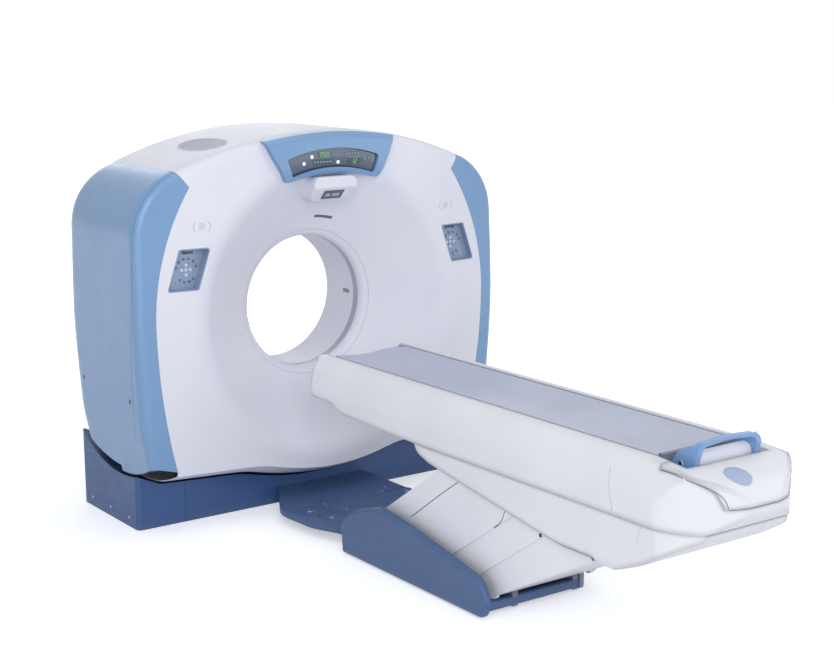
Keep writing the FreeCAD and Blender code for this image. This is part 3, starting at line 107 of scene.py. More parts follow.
class Shader:
    """A principled material fed by patterns in the object's own coordinates."""

    def __init__(self, name):
        self.material = bpy.data.materials.new(name)
        self.material.use_nodes = True
        self.nodes = self.material.node_tree.nodes
        self.links = self.material.node_tree.links
        self.surface = self.nodes["Principled BSDF"]
        self.place = self.nodes.new("ShaderNodeTexCoord").outputs["Object"]

    def set(self, **sockets):
        """Constants on the shader's own sockets."""
        for name, value in sockets.items():
            self.surface.inputs[name.replace("_", " ").title()].default_value = value

    def stretched(self, scale):
        """Object coordinates scaled by axis."""
        mapping = self.nodes.new("ShaderNodeMapping")
        mapping.inputs["Scale"].default_value = scale
        self.links.new(self.place, mapping.inputs["Vector"])
        return mapping.outputs["Vector"]

    def noise(self, scale, detail=3.0, vector=None, roughness=0.5):
        """Cloudy pattern, from 0 to 1."""
        node = self.nodes.new("ShaderNodeTexNoise")
        node.inputs["Scale"].default_value = scale
        node.inputs["Detail"].default_value = detail
        node.inputs["Roughness"].default_value = roughness
        self.links.new(vector or self.place, node.inputs["Vector"])
        return node.outputs["Fac"]

    def cells(self, scale):
        """Distance to the nearest of many scattered points."""
        node = self.nodes.new("ShaderNodeTexVoronoi")
        node.inputs["Scale"].default_value = scale
        self.links.new(self.place, node.inputs["Vector"])
        return node.outputs["Distance"]

    def ranged(self, value, low, high, start=0.3, end=0.7):
        """A pattern's values from start to end, spread over low to high."""
        node = self.nodes.new("ShaderNodeMapRange")
        node.inputs["From Min"].default_value = start
        node.inputs["From Max"].default_value = end
        node.inputs["To Min"].default_value = low
        node.inputs["To Max"].default_value = high
        self.links.new(value, node.inputs["Value"])
        return node.outputs["Result"]

    def ramp(self, value, first, last):
        """Colours between two stops, each a position and a colour."""
        node = self.nodes.new("ShaderNodeValToRGB")
        for element, (position, colour) in zip(node.color_ramp.elements, (first, last)):
            element.position = position
            element.color = colour
        self.links.new(value, node.inputs["Fac"])
        return node.outputs["Color"]

    def clouded(self, value, colour, dark, light, start=0.3, end=0.7):
        """One colour drifting between a darker and a lighter version."""
        return self.ramp(value, (start, scaled(colour, dark)), (end, scaled(colour, light)))

    def mixed(self, share, first, second):
        """Blend of a colour output with a plain colour."""
        node = self.nodes.new("ShaderNodeMix")
        node.data_type = "RGBA"
        factor, colours = node.inputs[0], node.inputs[6:8]
        self.links.new(share, factor)
        self.links.new(first, colours[0])
        colours[1].default_value = second
        return node.outputs[2]

    def height(self):
        """Height in the object's coordinates."""
        node = self.nodes.new("ShaderNodeSeparateXYZ")
        self.links.new(self.place, node.inputs["Vector"])
        return node.outputs["Z"]

    def colour(self, output):
        self.links.new(output, self.surface.inputs["Base Color"])

    def gloss(self, output):
        self.links.new(output, self.surface.inputs["Roughness"])

    def relief(self, output, strength, distance=0.0002, rounding=0.0):
        """Bump from a pattern, over edges softened by the rounding's radius."""
        node = self.nodes.new("ShaderNodeBump")
        node.inputs["Strength"].default_value = strength
        node.inputs["Distance"].default_value = distance
        self.links.new(output, node.inputs["Height"])
        if rounding:
            soft = self.nodes.new("ShaderNodeBevel")
            soft.samples = 6
            soft.inputs["Radius"].default_value = rounding
            self.links.new(soft.outputs["Normal"], node.inputs["Normal"])
        self.links.new(node.outputs["Normal"], self.surface.inputs["Normal"])


def moulded(name, colour, roughness=0.36, drift=0.03, grain=900.0, relief=0.12, coat=0.0,
            warm=None, shine=0.5, rounding=0.0):
    """Moulded plastic: slow colour drift, fine spark-eroded grain and uneven gloss."""
    shader = Shader(name)
    tint = warm or scaled(colour, 1.0 + drift)
    cloud = shader.noise(scale=1.7, detail=2.0)
    slow = shader.ramp(cloud, (0.35, scaled(colour, 1.0 - drift)), (0.65, tint))
    speck = shader.ranged(shader.noise(grain * 0.4, detail=1.0), low=0.0, high=0.10)
    shader.colour(shader.mixed(speck, slow, scaled(colour, 0.88)))
    shader.gloss(shader.ranged(shader.noise(scale=9.0), roughness - 0.05, roughness + 0.06))
    shader.relief(shader.noise(grain, detail=2.0), relief, rounding=rounding)
    shader.set(coat_weight=coat, coat_roughness=0.15)
    shader.surface.inputs["Specular IOR Level"].default_value = shine
    return shader.material


def printed(name, colour, roughness=0.6):
    """Ink, or the dark of a joint, with a coarse grain."""
    return moulded(name, colour, roughness, grain=300.0)


def scuffed(name, colour, roughness):
    """Floor-level plastic: dusty towards the floor, with a few rubbed streaks."""
    shader = Shader(name)
    slow = shader.clouded(shader.noise(scale=2.6), colour, dark=0.93, light=1.06)
    upright = shader.stretched((1.0, 1.0, 9.0))
    streaks = shader.noise(scale=7.0, detail=5.0, vector=upright, roughness=0.65)
    rub = shader.ranged(streaks, low=0.0, high=0.22, start=0.58, end=0.72)
    rubbed = shader.mixed(rub, slow, scaled(colour, 1.45))
    dust = shader.ranged(shader.height(), low=0.14, high=0.0, start=0.0, end=0.05)
    shader.colour(shader.mixed(dust, rubbed, linear(128, 134, 146)))
    shader.gloss(shader.ranged(streaks, roughness - 0.06, roughness + 0.12))
    shader.relief(shader.noise(scale=700.0, detail=2.0), strength=0.16, distance=0.0003)
    return shader.material


def steel(name, colour, roughness):
    """Machined metal with fine turning marks."""
    shader = Shader(name)
    along = shader.stretched((1.0, 40.0, 40.0))
    marks = shader.noise(scale=60.0, detail=4.0, vector=along)
    shader.colour(shader.clouded(marks, colour, dark=0.86, light=1.1))
    shader.gloss(shader.ranged(marks, roughness - 0.07, roughness + 0.1))
    shader.relief(marks, strength=0.08)
    shader.set(metallic=1.0)
    return shader.material


def painted(name, colour, roughness):
    """Textured paint on plate or castings."""
    shader = Shader(name)
    cloud = shader.noise(scale=14.0, detail=4.0)
    shader.colour(shader.clouded(cloud, colour, dark=0.9, light=1.08))
    shader.gloss(shader.ranged(shader.noise(scale=40.0), roughness - 0.06, roughness + 0.08))
    shader.relief(shader.cells(scale=420.0), strength=0.2, distance=0.0003)
    return shader.material


def smoked(name, colour, roughness):
    """Dark glossy window with faint smears."""
    shader = Shader(name)
    smear = shader.noise(scale=5.0, detail=4.0, vector=shader.stretched((1.0, 1.0, 3.0)))
    shader.colour(shader.clouded(smear, colour, dark=0.85, light=1.15, end=0.75))
    shader.gloss(shader.ranged(smear, roughness, roughness + 0.12))
    shader.set(coat_weight=0.6, coat_roughness=0.06)
    return shader.material


def woven(name, colour):
    """Laminate top of the cradle: a faint weave under a satin skin."""
    shader = Shader(name)
    weave = shader.cells(scale=320.0)
    slow = shader.clouded(shader.noise(scale=1.9), colour, dark=0.95, light=1.05)
    thread = shader.ranged(weave, low=0.0, high=0.16, start=0.1, end=0.8)
    shader.colour(shader.mixed(thread, slow, scaled(colour, 0.8)))
    shader.gloss(shader.ranged(shader.noise(scale=11.0), low=0.34, high=0.46))
    shader.relief(weave, strength=0.10)
    return shader.material


def ringed(name, track, gap):
    """Slip ring: metal tracks between insulating bands, by distance from the bore axis."""
    shader = Shader(name)
    centre = shader.nodes.new("ShaderNodeMapping")
    centre.inputs["Location"].default_value = (0, 0, -ISO)
    centre.inputs["Scale"].default_value = (1, 0, 1)
    shader.links.new(shader.place, centre.inputs["Vector"])
    wave = shader.nodes.new("ShaderNodeTexWave")
    wave.wave_type = "RINGS"
    wave.rings_direction = "SPHERICAL"
    wave.inputs["Scale"].default_value = 18.0
    shader.links.new(centre.outputs["Vector"], wave.inputs["Vector"])
    shader.colour(shader.ramp(wave.outputs["Fac"], (0.35, gap), (0.45, track)))
    shader.gloss(shader.ranged(wave.outputs["Fac"], low=0.55, high=0.25))
    shader.set(metallic=0.6)
    return shader.material


def lit(name, colour, strength):
    """Small lamp or lit segment behind a diffusing window."""
    shader = Shader(name)
    speckle = shader.noise(scale=300.0, detail=1.0)
    glow = shader.clouded(speckle, colour, dark=0.8, light=1.0, start=0.2, end=0.8)
    shader.colour(glow)
    shader.links.new(glow, shader.surface.inputs["Emission Color"])
    shader.set(emission_strength=strength, roughness=0.3)
    return shader.material


WHITE = linear(221, 222, 232)
WARM_WHITE = linear(224, 223, 231)
TABLE_WHITE = linear(229, 229, 233)
LEG_WHITE = linear(230, 231, 236)
BLUE = linear(114, 150, 190)
HANDLE_BLUE = linear(116, 154, 200)
PEDAL_BLUE = linear(64, 92, 136)
NAVY = linear(52, 82, 132)
FOOT_BLUE = linear(66, 93, 134)
KEYPAD_BLUE = linear(142, 158, 184)
CRADLE_GREY = linear(180, 186, 205)
TRIM_GREY = linear(120, 126, 146)
WINDOW_GREY = linear(62, 78, 104)
FRAME_GREY = linear(112, 118, 130)
STEEL_GREY = linear(196, 199, 205)
DRIVE_GREY = linear(66, 70, 78)
UNIT_GREY = linear(190, 193, 199)
COPPER = linear(196, 148, 92)
INSULATION = linear(40, 42, 48)

finishes = {
    "white_shell": moulded("white_shell", WHITE, 0.48, warm=WARM_WHITE, shine=0.15),
    "leg_shell": moulded("leg_shell", LEG_WHITE, 0.46, grain=800.0, shine=0.2),
    "blue_cover": moulded("blue_cover", BLUE, 0.34, drift=0.04, coat=0.15),
    "base_plastic": scuffed("base_plastic", NAVY, 0.42),
    "foot_plastic": scuffed("foot_plastic", FOOT_BLUE, 0.46),
    "pedal": moulded("pedal", PEDAL_BLUE, 0.44, drift=0.05, grain=420.0, relief=0.3),
    "handle": moulded("handle", HANDLE_BLUE, 0.30, coat=0.25),
    "keypad": moulded("keypad", KEYPAD_BLUE, 0.42, drift=0.05, grain=500.0, relief=0.2),
    "cradle": woven("cradle", CRADLE_GREY),
    "dark_trim": moulded("dark_trim", TRIM_GREY, 0.42, drift=0.06, grain=500.0, relief=0.25),
    "dark_window": smoked("dark_window", WINDOW_GREY, 0.10),
    "frame_steel": painted("frame_steel", FRAME_GREY, 0.50),
    "bright_steel": steel("bright_steel", STEEL_GREY, 0.28),
    "drive_unit": painted("drive_unit", DRIVE_GREY, 0.42),
    "imaging_unit": painted("imaging_unit", UNIT_GREY, 0.40),
    "slip_ring": ringed("slip_ring", COPPER, INSULATION),
}
# pale print for marks and brackets, and painted shade for the speaker's holes
pale_ink_and_hole_shade = printed("pale_print_and_hole_shade", linear(168, 174, 190), 0.5)
joint_shadow = printed("seam_shadow", linear(84, 88, 100), 0.7)
faint_shadow = printed("seam_faint", linear(176, 180, 192))
blue_shadow = printed("seam_on_blue", linear(78, 112, 160))
navy_shadow = printed("seam_on_navy", linear(34, 54, 92))
# dark for the latch keyholes, where it is painted shade, and for the leg studs and pivot ends
black_hole = printed("dark_socket", linear(28, 32, 42))
# flat grey standing for the shade inside the top cover's recess: painted shade
recess_shade_grey = moulded("vent_recess_painted_shade", linear(176, 178, 196), 0.5, drift=0.05, grain=260.0, relief=0.5)
key_cap = moulded("key_cap", linear(92, 112, 142), 0.38, grain=400.0)
key_pale = moulded("key_cap_pale", linear(206, 214, 228), 0.38, grain=400.0)
green_light = lit("green_segment", linear(96, 196, 108), 0.55)
white_light = lit("white_lamp", linear(226, 240, 246), 0.6)
teal_light = lit("teal_segment", linear(92, 160, 160), 0.35)
readout_dark = smoked("readout_window", linear(32, 42, 60), 0.14)
# light blue of printed marks, also used for dots that are partly painted highlights
icon_and_highlight_blue = printed("icon_and_highlight_blue", linear(150, 188, 232), 0.3)
disc_blue = moulded("tail_disc", linear(166, 180, 210), 0.3)
display_glass = smoked("display_glass", linear(52, 72, 98), 0.12)
table_white = moulded("table_white", TABLE_WHITE, 0.44, shine=0.2, rounding=0.03)
seal_grey = moulded("seal_ring", linear(158, 162, 178), 0.4, drift=0.05, grain=400.0)

for row in frame["record"]["subparts"]:
    for slot in nodes[row["node"]].material_slots:
        slot.material = finishes[row["material_slot"]]
for name, material in (("upper_casing", table_white), ("lower_casing", table_white),
                       ("tail_cover", table_white), ("display_panel", display_glass),
                       ("bore_seal_ring", seal_grey)):
    nodes[name].material_slots[0].material = material


# ---------------------------------------------------------------- laying detail on surfaces
trees = {}


def tree(node):
    """Search tree over a CAD piece's faces, made once."""
    if node not in trees:
        mesh = nodes[node].data
        corners = [vertex.co for vertex in mesh.vertices]
        faces = [tuple(face.vertices) for face in mesh.polygons]
        trees[node] = BVHTree.FromPolygons(corners, faces)
    return trees[node]


def on_surface(names, point, outward):
    """Nearest place and normal on these CAD pieces, looking inwards past a point."""
    start = point + outward * REACH
    hits = [tree(name).ray_cast(start, -outward, 2 * REACH) for name in names]
    hits = [hit for hit in hits if hit[0] is not None]
    if not hits:
        hits = [tree(name).find_nearest(point) for name in names]
    place, normal, _, _ = min(hits, key=lambda hit: hit[3])
    if normal.dot(outward) < 0:
        normal = -normal
    return place, normal


def curve_through(points, steps):
    """Points along a smooth curve through the given ones."""
    points = [Vector(point) for point in points]
    if steps == 1:
        return points
    padded = [2 * points[0] - points[1]] + points + [2 * points[-1] - points[-2]]
    out = []
    for a, b, c, d in zip(padded, padded[1:], padded[2:], padded[3:]):
        for step in range(steps):
            t = step / steps
            out.append(0.5 * (2 * b + (c - a) * t + (2 * a - 5 * b + 4 * c - d) * t * t
                              + (3 * b - a - 3 * c + d) * t * t * t))
    return out + [points[-1]]


class Detail:
    """One added piece, gathered from ribbons and patches, riding on a body."""

    def __init__(self, name, body, slot, material):
        self.name, self.body, self.slot, self.material = name, body, slot, material
        self.mesh = bmesh.new()

    def joined(self, first, second):
        """Faces between two closed rings of as many corners."""
        for k in range(len(first)):
            following = (k + 1) % len(first)
            self.mesh.faces.new((first[k], first[following], second[following], second[k]))

    def ribbon(self, names, points, outward, width, lift=PRINTED, steps=10):
        """Raised or inked line along a path; outward gives the side to look from."""
        found = [on_surface(names, point, outward(point)) for point in curve_through(points, steps)]
        places = [place for place, _ in found]
        rings = []
        for index, (place, normal) in enumerate(found):
            ahead = places[min(index + 1, len(places) - 1)] - places[max(index - 1, 0)]
            side = ahead.cross(normal).normalized() * (width / 2)
            rings.append([self.mesh.verts.new(corner) for corner in (
                place + side - normal * SUNK, place + side * RIBBON_TOP + normal * lift,
                place - side * RIBBON_TOP + normal * lift, place - side - normal * SUNK)])
        for first, second in zip(rings, rings[1:]):
            self.joined(first, second)
        self.mesh.faces.new(rings[0])
        self.mesh.faces.new(rings[-1])

    def loop(self, names, corners, outward, height):
        """Ring of corners dropped on a surface and lifted off it."""
        found = [on_surface(names, corner, outward) for corner in corners]
        return [self.mesh.verts.new(place + normal * height) for place, normal in found]

    def patch(self, names, centre, across, along, outline, outward, lift=PLATED, dome=0.0, rings=3):
        """Thin plate with an outline in its own plane, laid over a surface."""
        def corners(share):
            return [centre + across * (u * share) + along * (v * share) for u, v in outline]
        loops = [self.loop(names, corners(RIM_SHARE), outward, -SUNK)]
        for ring in range(rings, 0, -1):
            share = ring / rings
            loops.append(self.loop(names, corners(share), outward, lift + dome * (1 - share * share)))
        for outer, inner in zip(loops, loops[1:]):
            self.joined(outer, inner)
        middle = self.loop(names, [centre], outward, lift + dome)[0]
        last = loops[-1]
        for k in range(len(last)):
            self.mesh.faces.new((last[k], last[(k + 1) % len(last)], middle))

    def facing_table(self, names, centre, outline, **looks):
        """Patch seen from the table."""
        self.patch(names, centre, ACROSS, UP, outline, TOWARDS_TABLE, **looks)

    def sideways(self, names, centre, outline, side, **looks):
        """Patch seen from the left or the right."""
        self.patch(names, centre, BACK, UP, outline, ACROSS * side, **looks)

    def finish(self):
        """Turn the gathered faces into an object on its body."""
        bmesh.ops.recalc_face_normals(self.mesh, faces=self.mesh.faces)
        data = bpy.data.meshes.new(self.name)
        self.mesh.to_mesh(data)
        self.mesh.free()
        data.materials.append(self.material)
        data.shade_smooth()
        data.set_sharp_from_angle(angle=SHARP)
        thing = bpy.data.objects.new(self.name, data)
        bpy.context.scene.collection.objects.link(thing)
        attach(thing, self.body)


def ellipse(wide, high, count):
    """Outline of an ellipse, by its half width and half height."""
    return [(wide * math.cos(2 * math.pi * k / count), high * math.sin(2 * math.pi * k / count))
            for k in range(count)]


def disc(radius, count):
    """Outline of a circle."""
    return ellipse(radius, radius, count)


def rectangle(wide, high):
    """Outline of a rectangle, by its half width and half height."""
    return [(wide, high), (-wide, high), (-wide, -high), (wide, -high)]


def rounded(wide, high, radius, count=5):
    """Outline of a rounded rectangle, by its half width and half height."""
    points = []
    for corner, (x, y) in enumerate(((1, 1), (-1, 1), (-1, -1), (1, -1))):
        for step in range(count):
            angle = math.pi / 2 * (corner + step / (count - 1))
            points.append((x * (wide - radius) + radius * math.cos(angle),
                           y * (high - radius) + radius * math.sin(angle)))
    return points


def always(direction):
    """The same outward direction at every point."""
    return lambda point: direction


def away_from_axis(point):
    """Straight out from the bore axis."""
    return Vector((point[0], 0, point[2] - ISO)).normalized()


def out_of_tail(point):
    """Out from the middle of the table's tail."""
    return (point - TAIL_MIDDLE).normalized()


def at_front(x, z):
    """Point on the plane before the gantry's front."""
    return Vector((x, FRONT_PLANE, z))


def round_from(middle, wide, high, angle):
    """Point on an upright ellipse about a middle."""
    return middle + Vector((wide * math.cos(angle), 0, high * math.sin(angle)))


# ---------------------------------------------------------------- gantry detail
# keys by angle in degrees and distance from the pad's centre
ARC_KEYS = [(angle, 0.056) for angle in (15, 45, 75, 105, 135, 165)]
LOWER_KEYS = [(angle, 0.060) for angle in (232, 257, 283, 308)]
DIRECTION_KEYS = [(angle, 0.024) for angle in (0, 90, 180, 270)] + [(0, 0.0)]
KEYPAD_CENTRE = (0.808, ISO + 0.268)
KEY_RADIUS = 0.0075
KEY_LIFT, KEY_DOME = 0.0006, 0.0010
READOUT_CENTRE = (0.800, ISO + 0.354)
READOUT = rounded(0.030, 0.0085, 0.003)


def keypad_detail(side, label):
    """Dark and pale membrane keys, and the small readout over them."""
    middle = Vector((side * KEYPAD_CENTRE[0], KEYPAD_PLANE, KEYPAD_CENTRE[1]))
    for name, material, keys in (("key_caps_", key_cap, ARC_KEYS + LOWER_KEYS),
                                 ("direction_keys_", key_pale, DIRECTION_KEYS)):
        group = Detail(name + label, GANTRY, "keypad", material)
        for degrees, reach in keys:
            spot = round_from(middle, side * reach, reach, math.radians(degrees))
            group.facing_table(["keypads"], spot, disc(KEY_RADIUS, 20), lift=KEY_LIFT, dome=KEY_DOME)
        group.finish()
    glass = Detail("keypad_readout_" + label, GANTRY, "dark_window", readout_dark)
    spot = Vector((side * READOUT_CENTRE[0], KEYPAD_PLANE, READOUT_CENTRE[1]))
    glass.facing_table(["keypads"], spot, READOUT, lift=GLAZED)
    glass.finish()


INTERCOM = (0.739, 1.553)
BRACKET_HALF = (0.044, 0.034)
BRACKET_STEP = math.radians(11)
BRACKET_WIDTH = 0.0045
SPEAKER_RINGS = ((0.0, 1), (0.008, 6), (0.016, 12))      # radius, and how many holes
SPEAKER_HOLE = 0.0026


def intercom_detail(side, label):
    """Round speaker between two printed brackets; its perforations are pale grey discs of painted shade."""
    middle = at_front(side * INTERCOM[0], INTERCOM[1])
    marks = Detail("intercom_" + label, GANTRY, "dark_trim", pale_ink_and_hole_shade)
    for centre_angle in (0, math.pi):
        arc = [round_from(middle, *BRACKET_HALF, centre_angle + step * BRACKET_STEP)
               for step in range(-4, 5)]
        marks.ribbon(["front_cover"], arc, always(TOWARDS_TABLE), BRACKET_WIDTH, steps=3)
    # painted shade: pale grey discs where the speaker's holes are
    for radius, count in SPEAKER_RINGS:
        for k in range(count):
            spot = round_from(middle, radius, radius, 2 * math.pi * k / count)
            marks.facing_table(["front_cover"], spot, disc(SPEAKER_HOLE, 10), lift=PRINTED, rings=1)
    marks.finish()


# display windows: centre across and up, half width and half height
DISPLAY_WINDOWS = ((-0.048, 1.868, 0.044, 0.015), (-0.060, 1.832, 0.062, 0.013),
                   (0.128, 1.826, 0.040, 0.015), (0.118, 1.866, 0.052, 0.010),
                   (0.205, 1.838, 0.028, 0.014))
READINGS = (("050", -0.048, 1.868), ("12", 0.128, 1.826))
DISPLAY_LAMPS = ((-0.124, 1.860), (-0.172, 1.828), (0.0325, 1.827))
LAMP_RADIUS, LAMP_DOME = 0.009, 0.0015
MARK_PITCH = 0.019
UPPER_MARKS = [(0.080 + MARK_PITCH * k, 1.866) for k in range(5)]
CORNER_MARKS = [(0.193, 1.844), (0.217, 1.840), (0.193, 1.829)]
LOWER_MARKS = [(-0.108 + MARK_PITCH * k, 1.832) for k in range(6)]
FIGURE_HEIGHT = 0.022
FIGURE_PITCH = FIGURE_HEIGHT * 0.85
FIGURE_WIDTH = FIGURE_HEIGHT * 0.52
# seven segments: place across and up from a figure's middle, and whether it lies flat
SEGMENTS = {"a": (0, 1, True), "b": (0.5, 0.5, False), "c": (0.5, -0.5, False), "d": (0, -1, True),
            "e": (-0.5, -0.5, False), "f": (-0.5, 0.5, False), "g": (0, 0, True)}
FIGURES = {"0": "abcdef", "1": "bc", "2": "abged", "5": "afgcd"}
FLAT_SEGMENT = rectangle(FIGURE_HEIGHT * 0.20, FIGURE_HEIGHT * 0.055)
UPRIGHT_SEGMENT = rectangle(FIGURE_HEIGHT * 0.055, FIGURE_HEIGHT * 0.19)


def reading(group, text, centre):
    """Seven-segment figures on the display, centred on a point."""
    for index, sign in enumerate(text):
        offset = (index - (len(text) - 1) / 2) * FIGURE_PITCH
        for segment in FIGURES[sign]:
            x, y, flat = SEGMENTS[segment]
            spot = centre + Vector((offset + x * FIGURE_WIDTH, 0, y * FIGURE_HEIGHT / 2))
            outline = FLAT_SEGMENT if flat else UPRIGHT_SEGMENT
            group.facing_table(["display_panel"], spot, outline, lift=ON_GLASS, rings=1)


def glazed_piece(name, material):
    """Empty detail on the gantry, which keeps the dark windows' slot name."""
    return Detail(name, GANTRY, "dark_window", material)


def display_detail():
    """Readouts, lamps and small lit marks of the display over the bore."""
    panel = ["display_panel"]
    windows = glazed_piece("display_windows", readout_dark)
    for x, z, wide, high in DISPLAY_WINDOWS:
        windows.facing_table(panel, at_front(x, z), rounded(wide, high, 0.005), lift=GLAZED)
    windows.finish()
    green = glazed_piece("display_figures", green_light)
    for text, x, z in READINGS:
        reading(green, text, at_front(x, z))
    green.finish()
    teal = glazed_piece("display_marks", teal_light)
    for places, outline in ((UPPER_MARKS + CORNER_MARKS, ellipse(0.0045, 0.0030, 12)),
                            (LOWER_MARKS, rounded(0.006, 0.003, 0.001, 3))):
        for x, z in places:
            teal.facing_table(panel, at_front(x, z), outline, lift=ON_GLASS, rings=1)
    teal.finish()
    lamps = glazed_piece("display_lamps", white_light)
    for x, z in DISPLAY_LAMPS:
        lamps.facing_table(panel, at_front(x, z), disc(LAMP_RADIUS, 20), lift=GLAZED, dome=LAMP_DOME)
    lamps.finish()


POD_MARKS = ((-0.030, 0.014), (0.018, 0.022))            # place across, and half width
POD_MARK_HALF_HEIGHT = 0.011
POD_MARK_INSET = 0.035       # from the pod's front and from its foot


def pod_detail():
    """Two pale marks on the sensor pod's sloping window."""
    slope = math.sqrt(0.5)
    outward = Vector((0, -slope, -slope))
    upward = Vector((0, -slope, slope))
    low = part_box("sensor_pod")[0]
    middle = Vector((0, low.y + POD_MARK_INSET, low.z + POD_MARK_INSET))
    marks = glazed_piece("pod_marks", pale_ink_and_hole_shade)
    for x, wide in POD_MARKS:
        marks.patch(["sensor_windows"], middle + ACROSS * x, ACROSS, upward,
                    rounded(wide, POD_MARK_HALF_HEIGHT, 0.004), outward)
    marks.finish()


# joint behind the front strip: angle about the bore axis in degrees, and place along Y
SIDE_JOINT = ((40.0, -0.360), (34.0, -0.357), (28.0, -0.356), (18.0, -0.352), (8.0, -0.345),
              (-4.0, -0.320), (-14.0, -0.295), (-25.0, -0.273), (-34.5, -0.240))
LATCH_SOCKETS = ((0.285, 0.724), (-0.250, 0.6945))       # along Y, and up
LATCH_X = 1.082
SIDE_REACH, SIDE_SWELL = 1.11, 0.02    # from the bore axis: at 45 degrees, and more at 0


def side_detail(side, label):
    """Panel joint behind the front strip, and two latch sockets drawn as dark patches of painted shade."""
    cover = ["side_cover_" + label]
    line = Detail("side_joint_" + label, GANTRY, "blue_cover", blue_shadow)
    points = []
    for degrees, y in SIDE_JOINT:
        turn = math.radians(degrees)
        reach = SIDE_REACH + SIDE_SWELL * math.cos(2 * turn)
        points.append(round_from(Vector((0, y, ISO)), side * reach, reach, turn))
    line.ribbon(cover, points, away_from_axis, JOINT_LINE)
    line.finish()
    # painted shade: dark patches where the latch keyholes open
    sockets = Detail("latch_sockets_" + label, GANTRY, "dark_trim", black_hole)
    for y, z in LATCH_SOCKETS:
        sockets.sideways(cover, Vector((side * LATCH_X, y, z)), ellipse(0.008, 0.013, 18), side)
    sockets.finish()


VENT_CENTRE = (0.547, -0.083, 1.93)
VENT_HALF = (0.100, 0.200)
VENT_CORNERS = 48
VENT_RIM_WIDTH, VENT_RIM_LIFT = 0.008, 0.002
VENT_ROWS = 7                # rows of slots from the middle to the tip, where the last has no length
SLOT_WIDTH = 0.007
SLOT_SHARE = 0.86            # of the recess's width


def vent_detail(side, label):
    """Oval recess in the top cover, with a rim and rows of slots; the recess is a flat grey patch of painted
    shade, and the slots are dark strips of painted shade.
    """
    cover = ["top_cover"]
    wide, long = VENT_HALF
    centre = Vector((side * VENT_CENTRE[0], VENT_CENTRE[1], VENT_CENTRE[2]))
    outline = ellipse(wide, long, VENT_CORNERS)
    # painted shade: the recess is a flat patch in grey
    field = Detail("top_recess_" + label, GANTRY, "dark_trim", recess_shade_grey)
    field.patch(cover, centre, ACROSS, BACK, outline, UP, lift=PRINTED, rings=6)
    field.finish()
    rim = Detail("top_recess_rim_" + label, GANTRY, "white_shell", finishes["white_shell"])
    loop = [centre + Vector((x, y, 0)) for x, y in outline + outline[:1]]
    rim.ribbon(cover, loop, always(UP), VENT_RIM_WIDTH, lift=VENT_RIM_LIFT, steps=1)
    rim.finish()
    # painted shade: dark strips where the slots open
    slots = Detail("top_recess_slots_" + label, GANTRY, "dark_trim", joint_shadow)
    for k in range(1 - VENT_ROWS, VENT_ROWS):
        half = wide * SLOT_SHARE * math.sqrt(1 - (k / VENT_ROWS) ** 2)
        slot_row = [centre + Vector((half * j / 4, long * k / VENT_ROWS, 0)) for j in range(-4, 5)]
        slots.ribbon(cover, slot_row, always(UP), SLOT_WIDTH, lift=GLAZED, steps=1)
    slots.finish()


BORE_JOINT_RADIUS = 0.386
BORE_JOINT_Y = -0.19
BORE_JOINT_STEPS = 96


def bore_detail():
    """Joint ring round the mouth of the bore."""
    ring = Detail("bore_joint", GANTRY, "dark_trim", faint_shadow)
    turns = [2 * math.pi * k / BORE_JOINT_STEPS for k in range(BORE_JOINT_STEPS + 1)]
    loop = [Vector((BORE_JOINT_RADIUS * math.sin(turn), BORE_JOINT_Y,
                    ISO + BORE_JOINT_RADIUS * math.cos(turn))) for turn in turns]
    ring.ribbon(["front_cover"], loop, always(TOWARDS_TABLE), FINE_LINE, steps=1)
    ring.finish()


HATCH_HALF_WIDTH = 0.215
HATCH_LOW, HATCH_HIGH = 1.776, 1.888
HATCH_SPAN = HATCH_HIGH - HATCH_LOW
HATCH_COLUMNS, HATCH_ROWS = 36, 14
HATCH_LIFT = 0.0009
REAR_PLANE = 0.44            # the hatch is laid from here


def hatch_depth(x, z):
    """Y of the rear cover's surface carried smoothly across the service opening."""
    def depth(height):
        return on_surface(["rear_cover"], Vector((x, REAR_PLANE, height)), BACK)[0].y
    step = 0.008
    low, high = depth(HATCH_LOW), depth(HATCH_HIGH)
    low_slope = (low - depth(HATCH_LOW - step)) / step * HATCH_SPAN
    high_slope = (depth(HATCH_HIGH + step) - high) / step * HATCH_SPAN
    t = (z - HATCH_LOW) / HATCH_SPAN
    return ((2 * t ** 3 - 3 * t * t + 1) * low + (t ** 3 - 2 * t * t + t) * low_slope
            + (3 * t * t - 2 * t ** 3) * high + (t ** 3 - t * t) * high_slope)


def service_hatch():
    """Hatch closing the opening over the rear dish; its edge sinks into the cover."""
    plate = Detail("rear_hatch", GANTRY, "white_shell", finishes["white_shell"])
    grid = []
    for i in range(HATCH_COLUMNS + 1):
        x = HATCH_HALF_WIDTH * (2 * i / HATCH_COLUMNS - 1)
        column = []
        for j in range(HATCH_ROWS + 1):
            z = HATCH_LOW + HATCH_SPAN * j / HATCH_ROWS
            at_edge = i in (0, HATCH_COLUMNS) or j in (0, HATCH_ROWS)
            lift = -SUNK if at_edge else HATCH_LIFT
            column.append(plate.mesh.verts.new((x, hatch_depth(x, z) + lift, z)))
        grid.append(column)
    for left, right in zip(grid, grid[1:]):
        for j in range(HATCH_ROWS):
            plate.mesh.faces.new((left[j], right[j], right[j + 1], left[j + 1]))
    plate.finish()


REAR_SCREWS = (25, 60, 90, 120, 155, 200, 235, 305, 340)     # degrees about the bore axis
REAR_SCREW_RING = (0.80, 0.72)         # half width and half height
REAR_SCREW_PLANE = 0.46


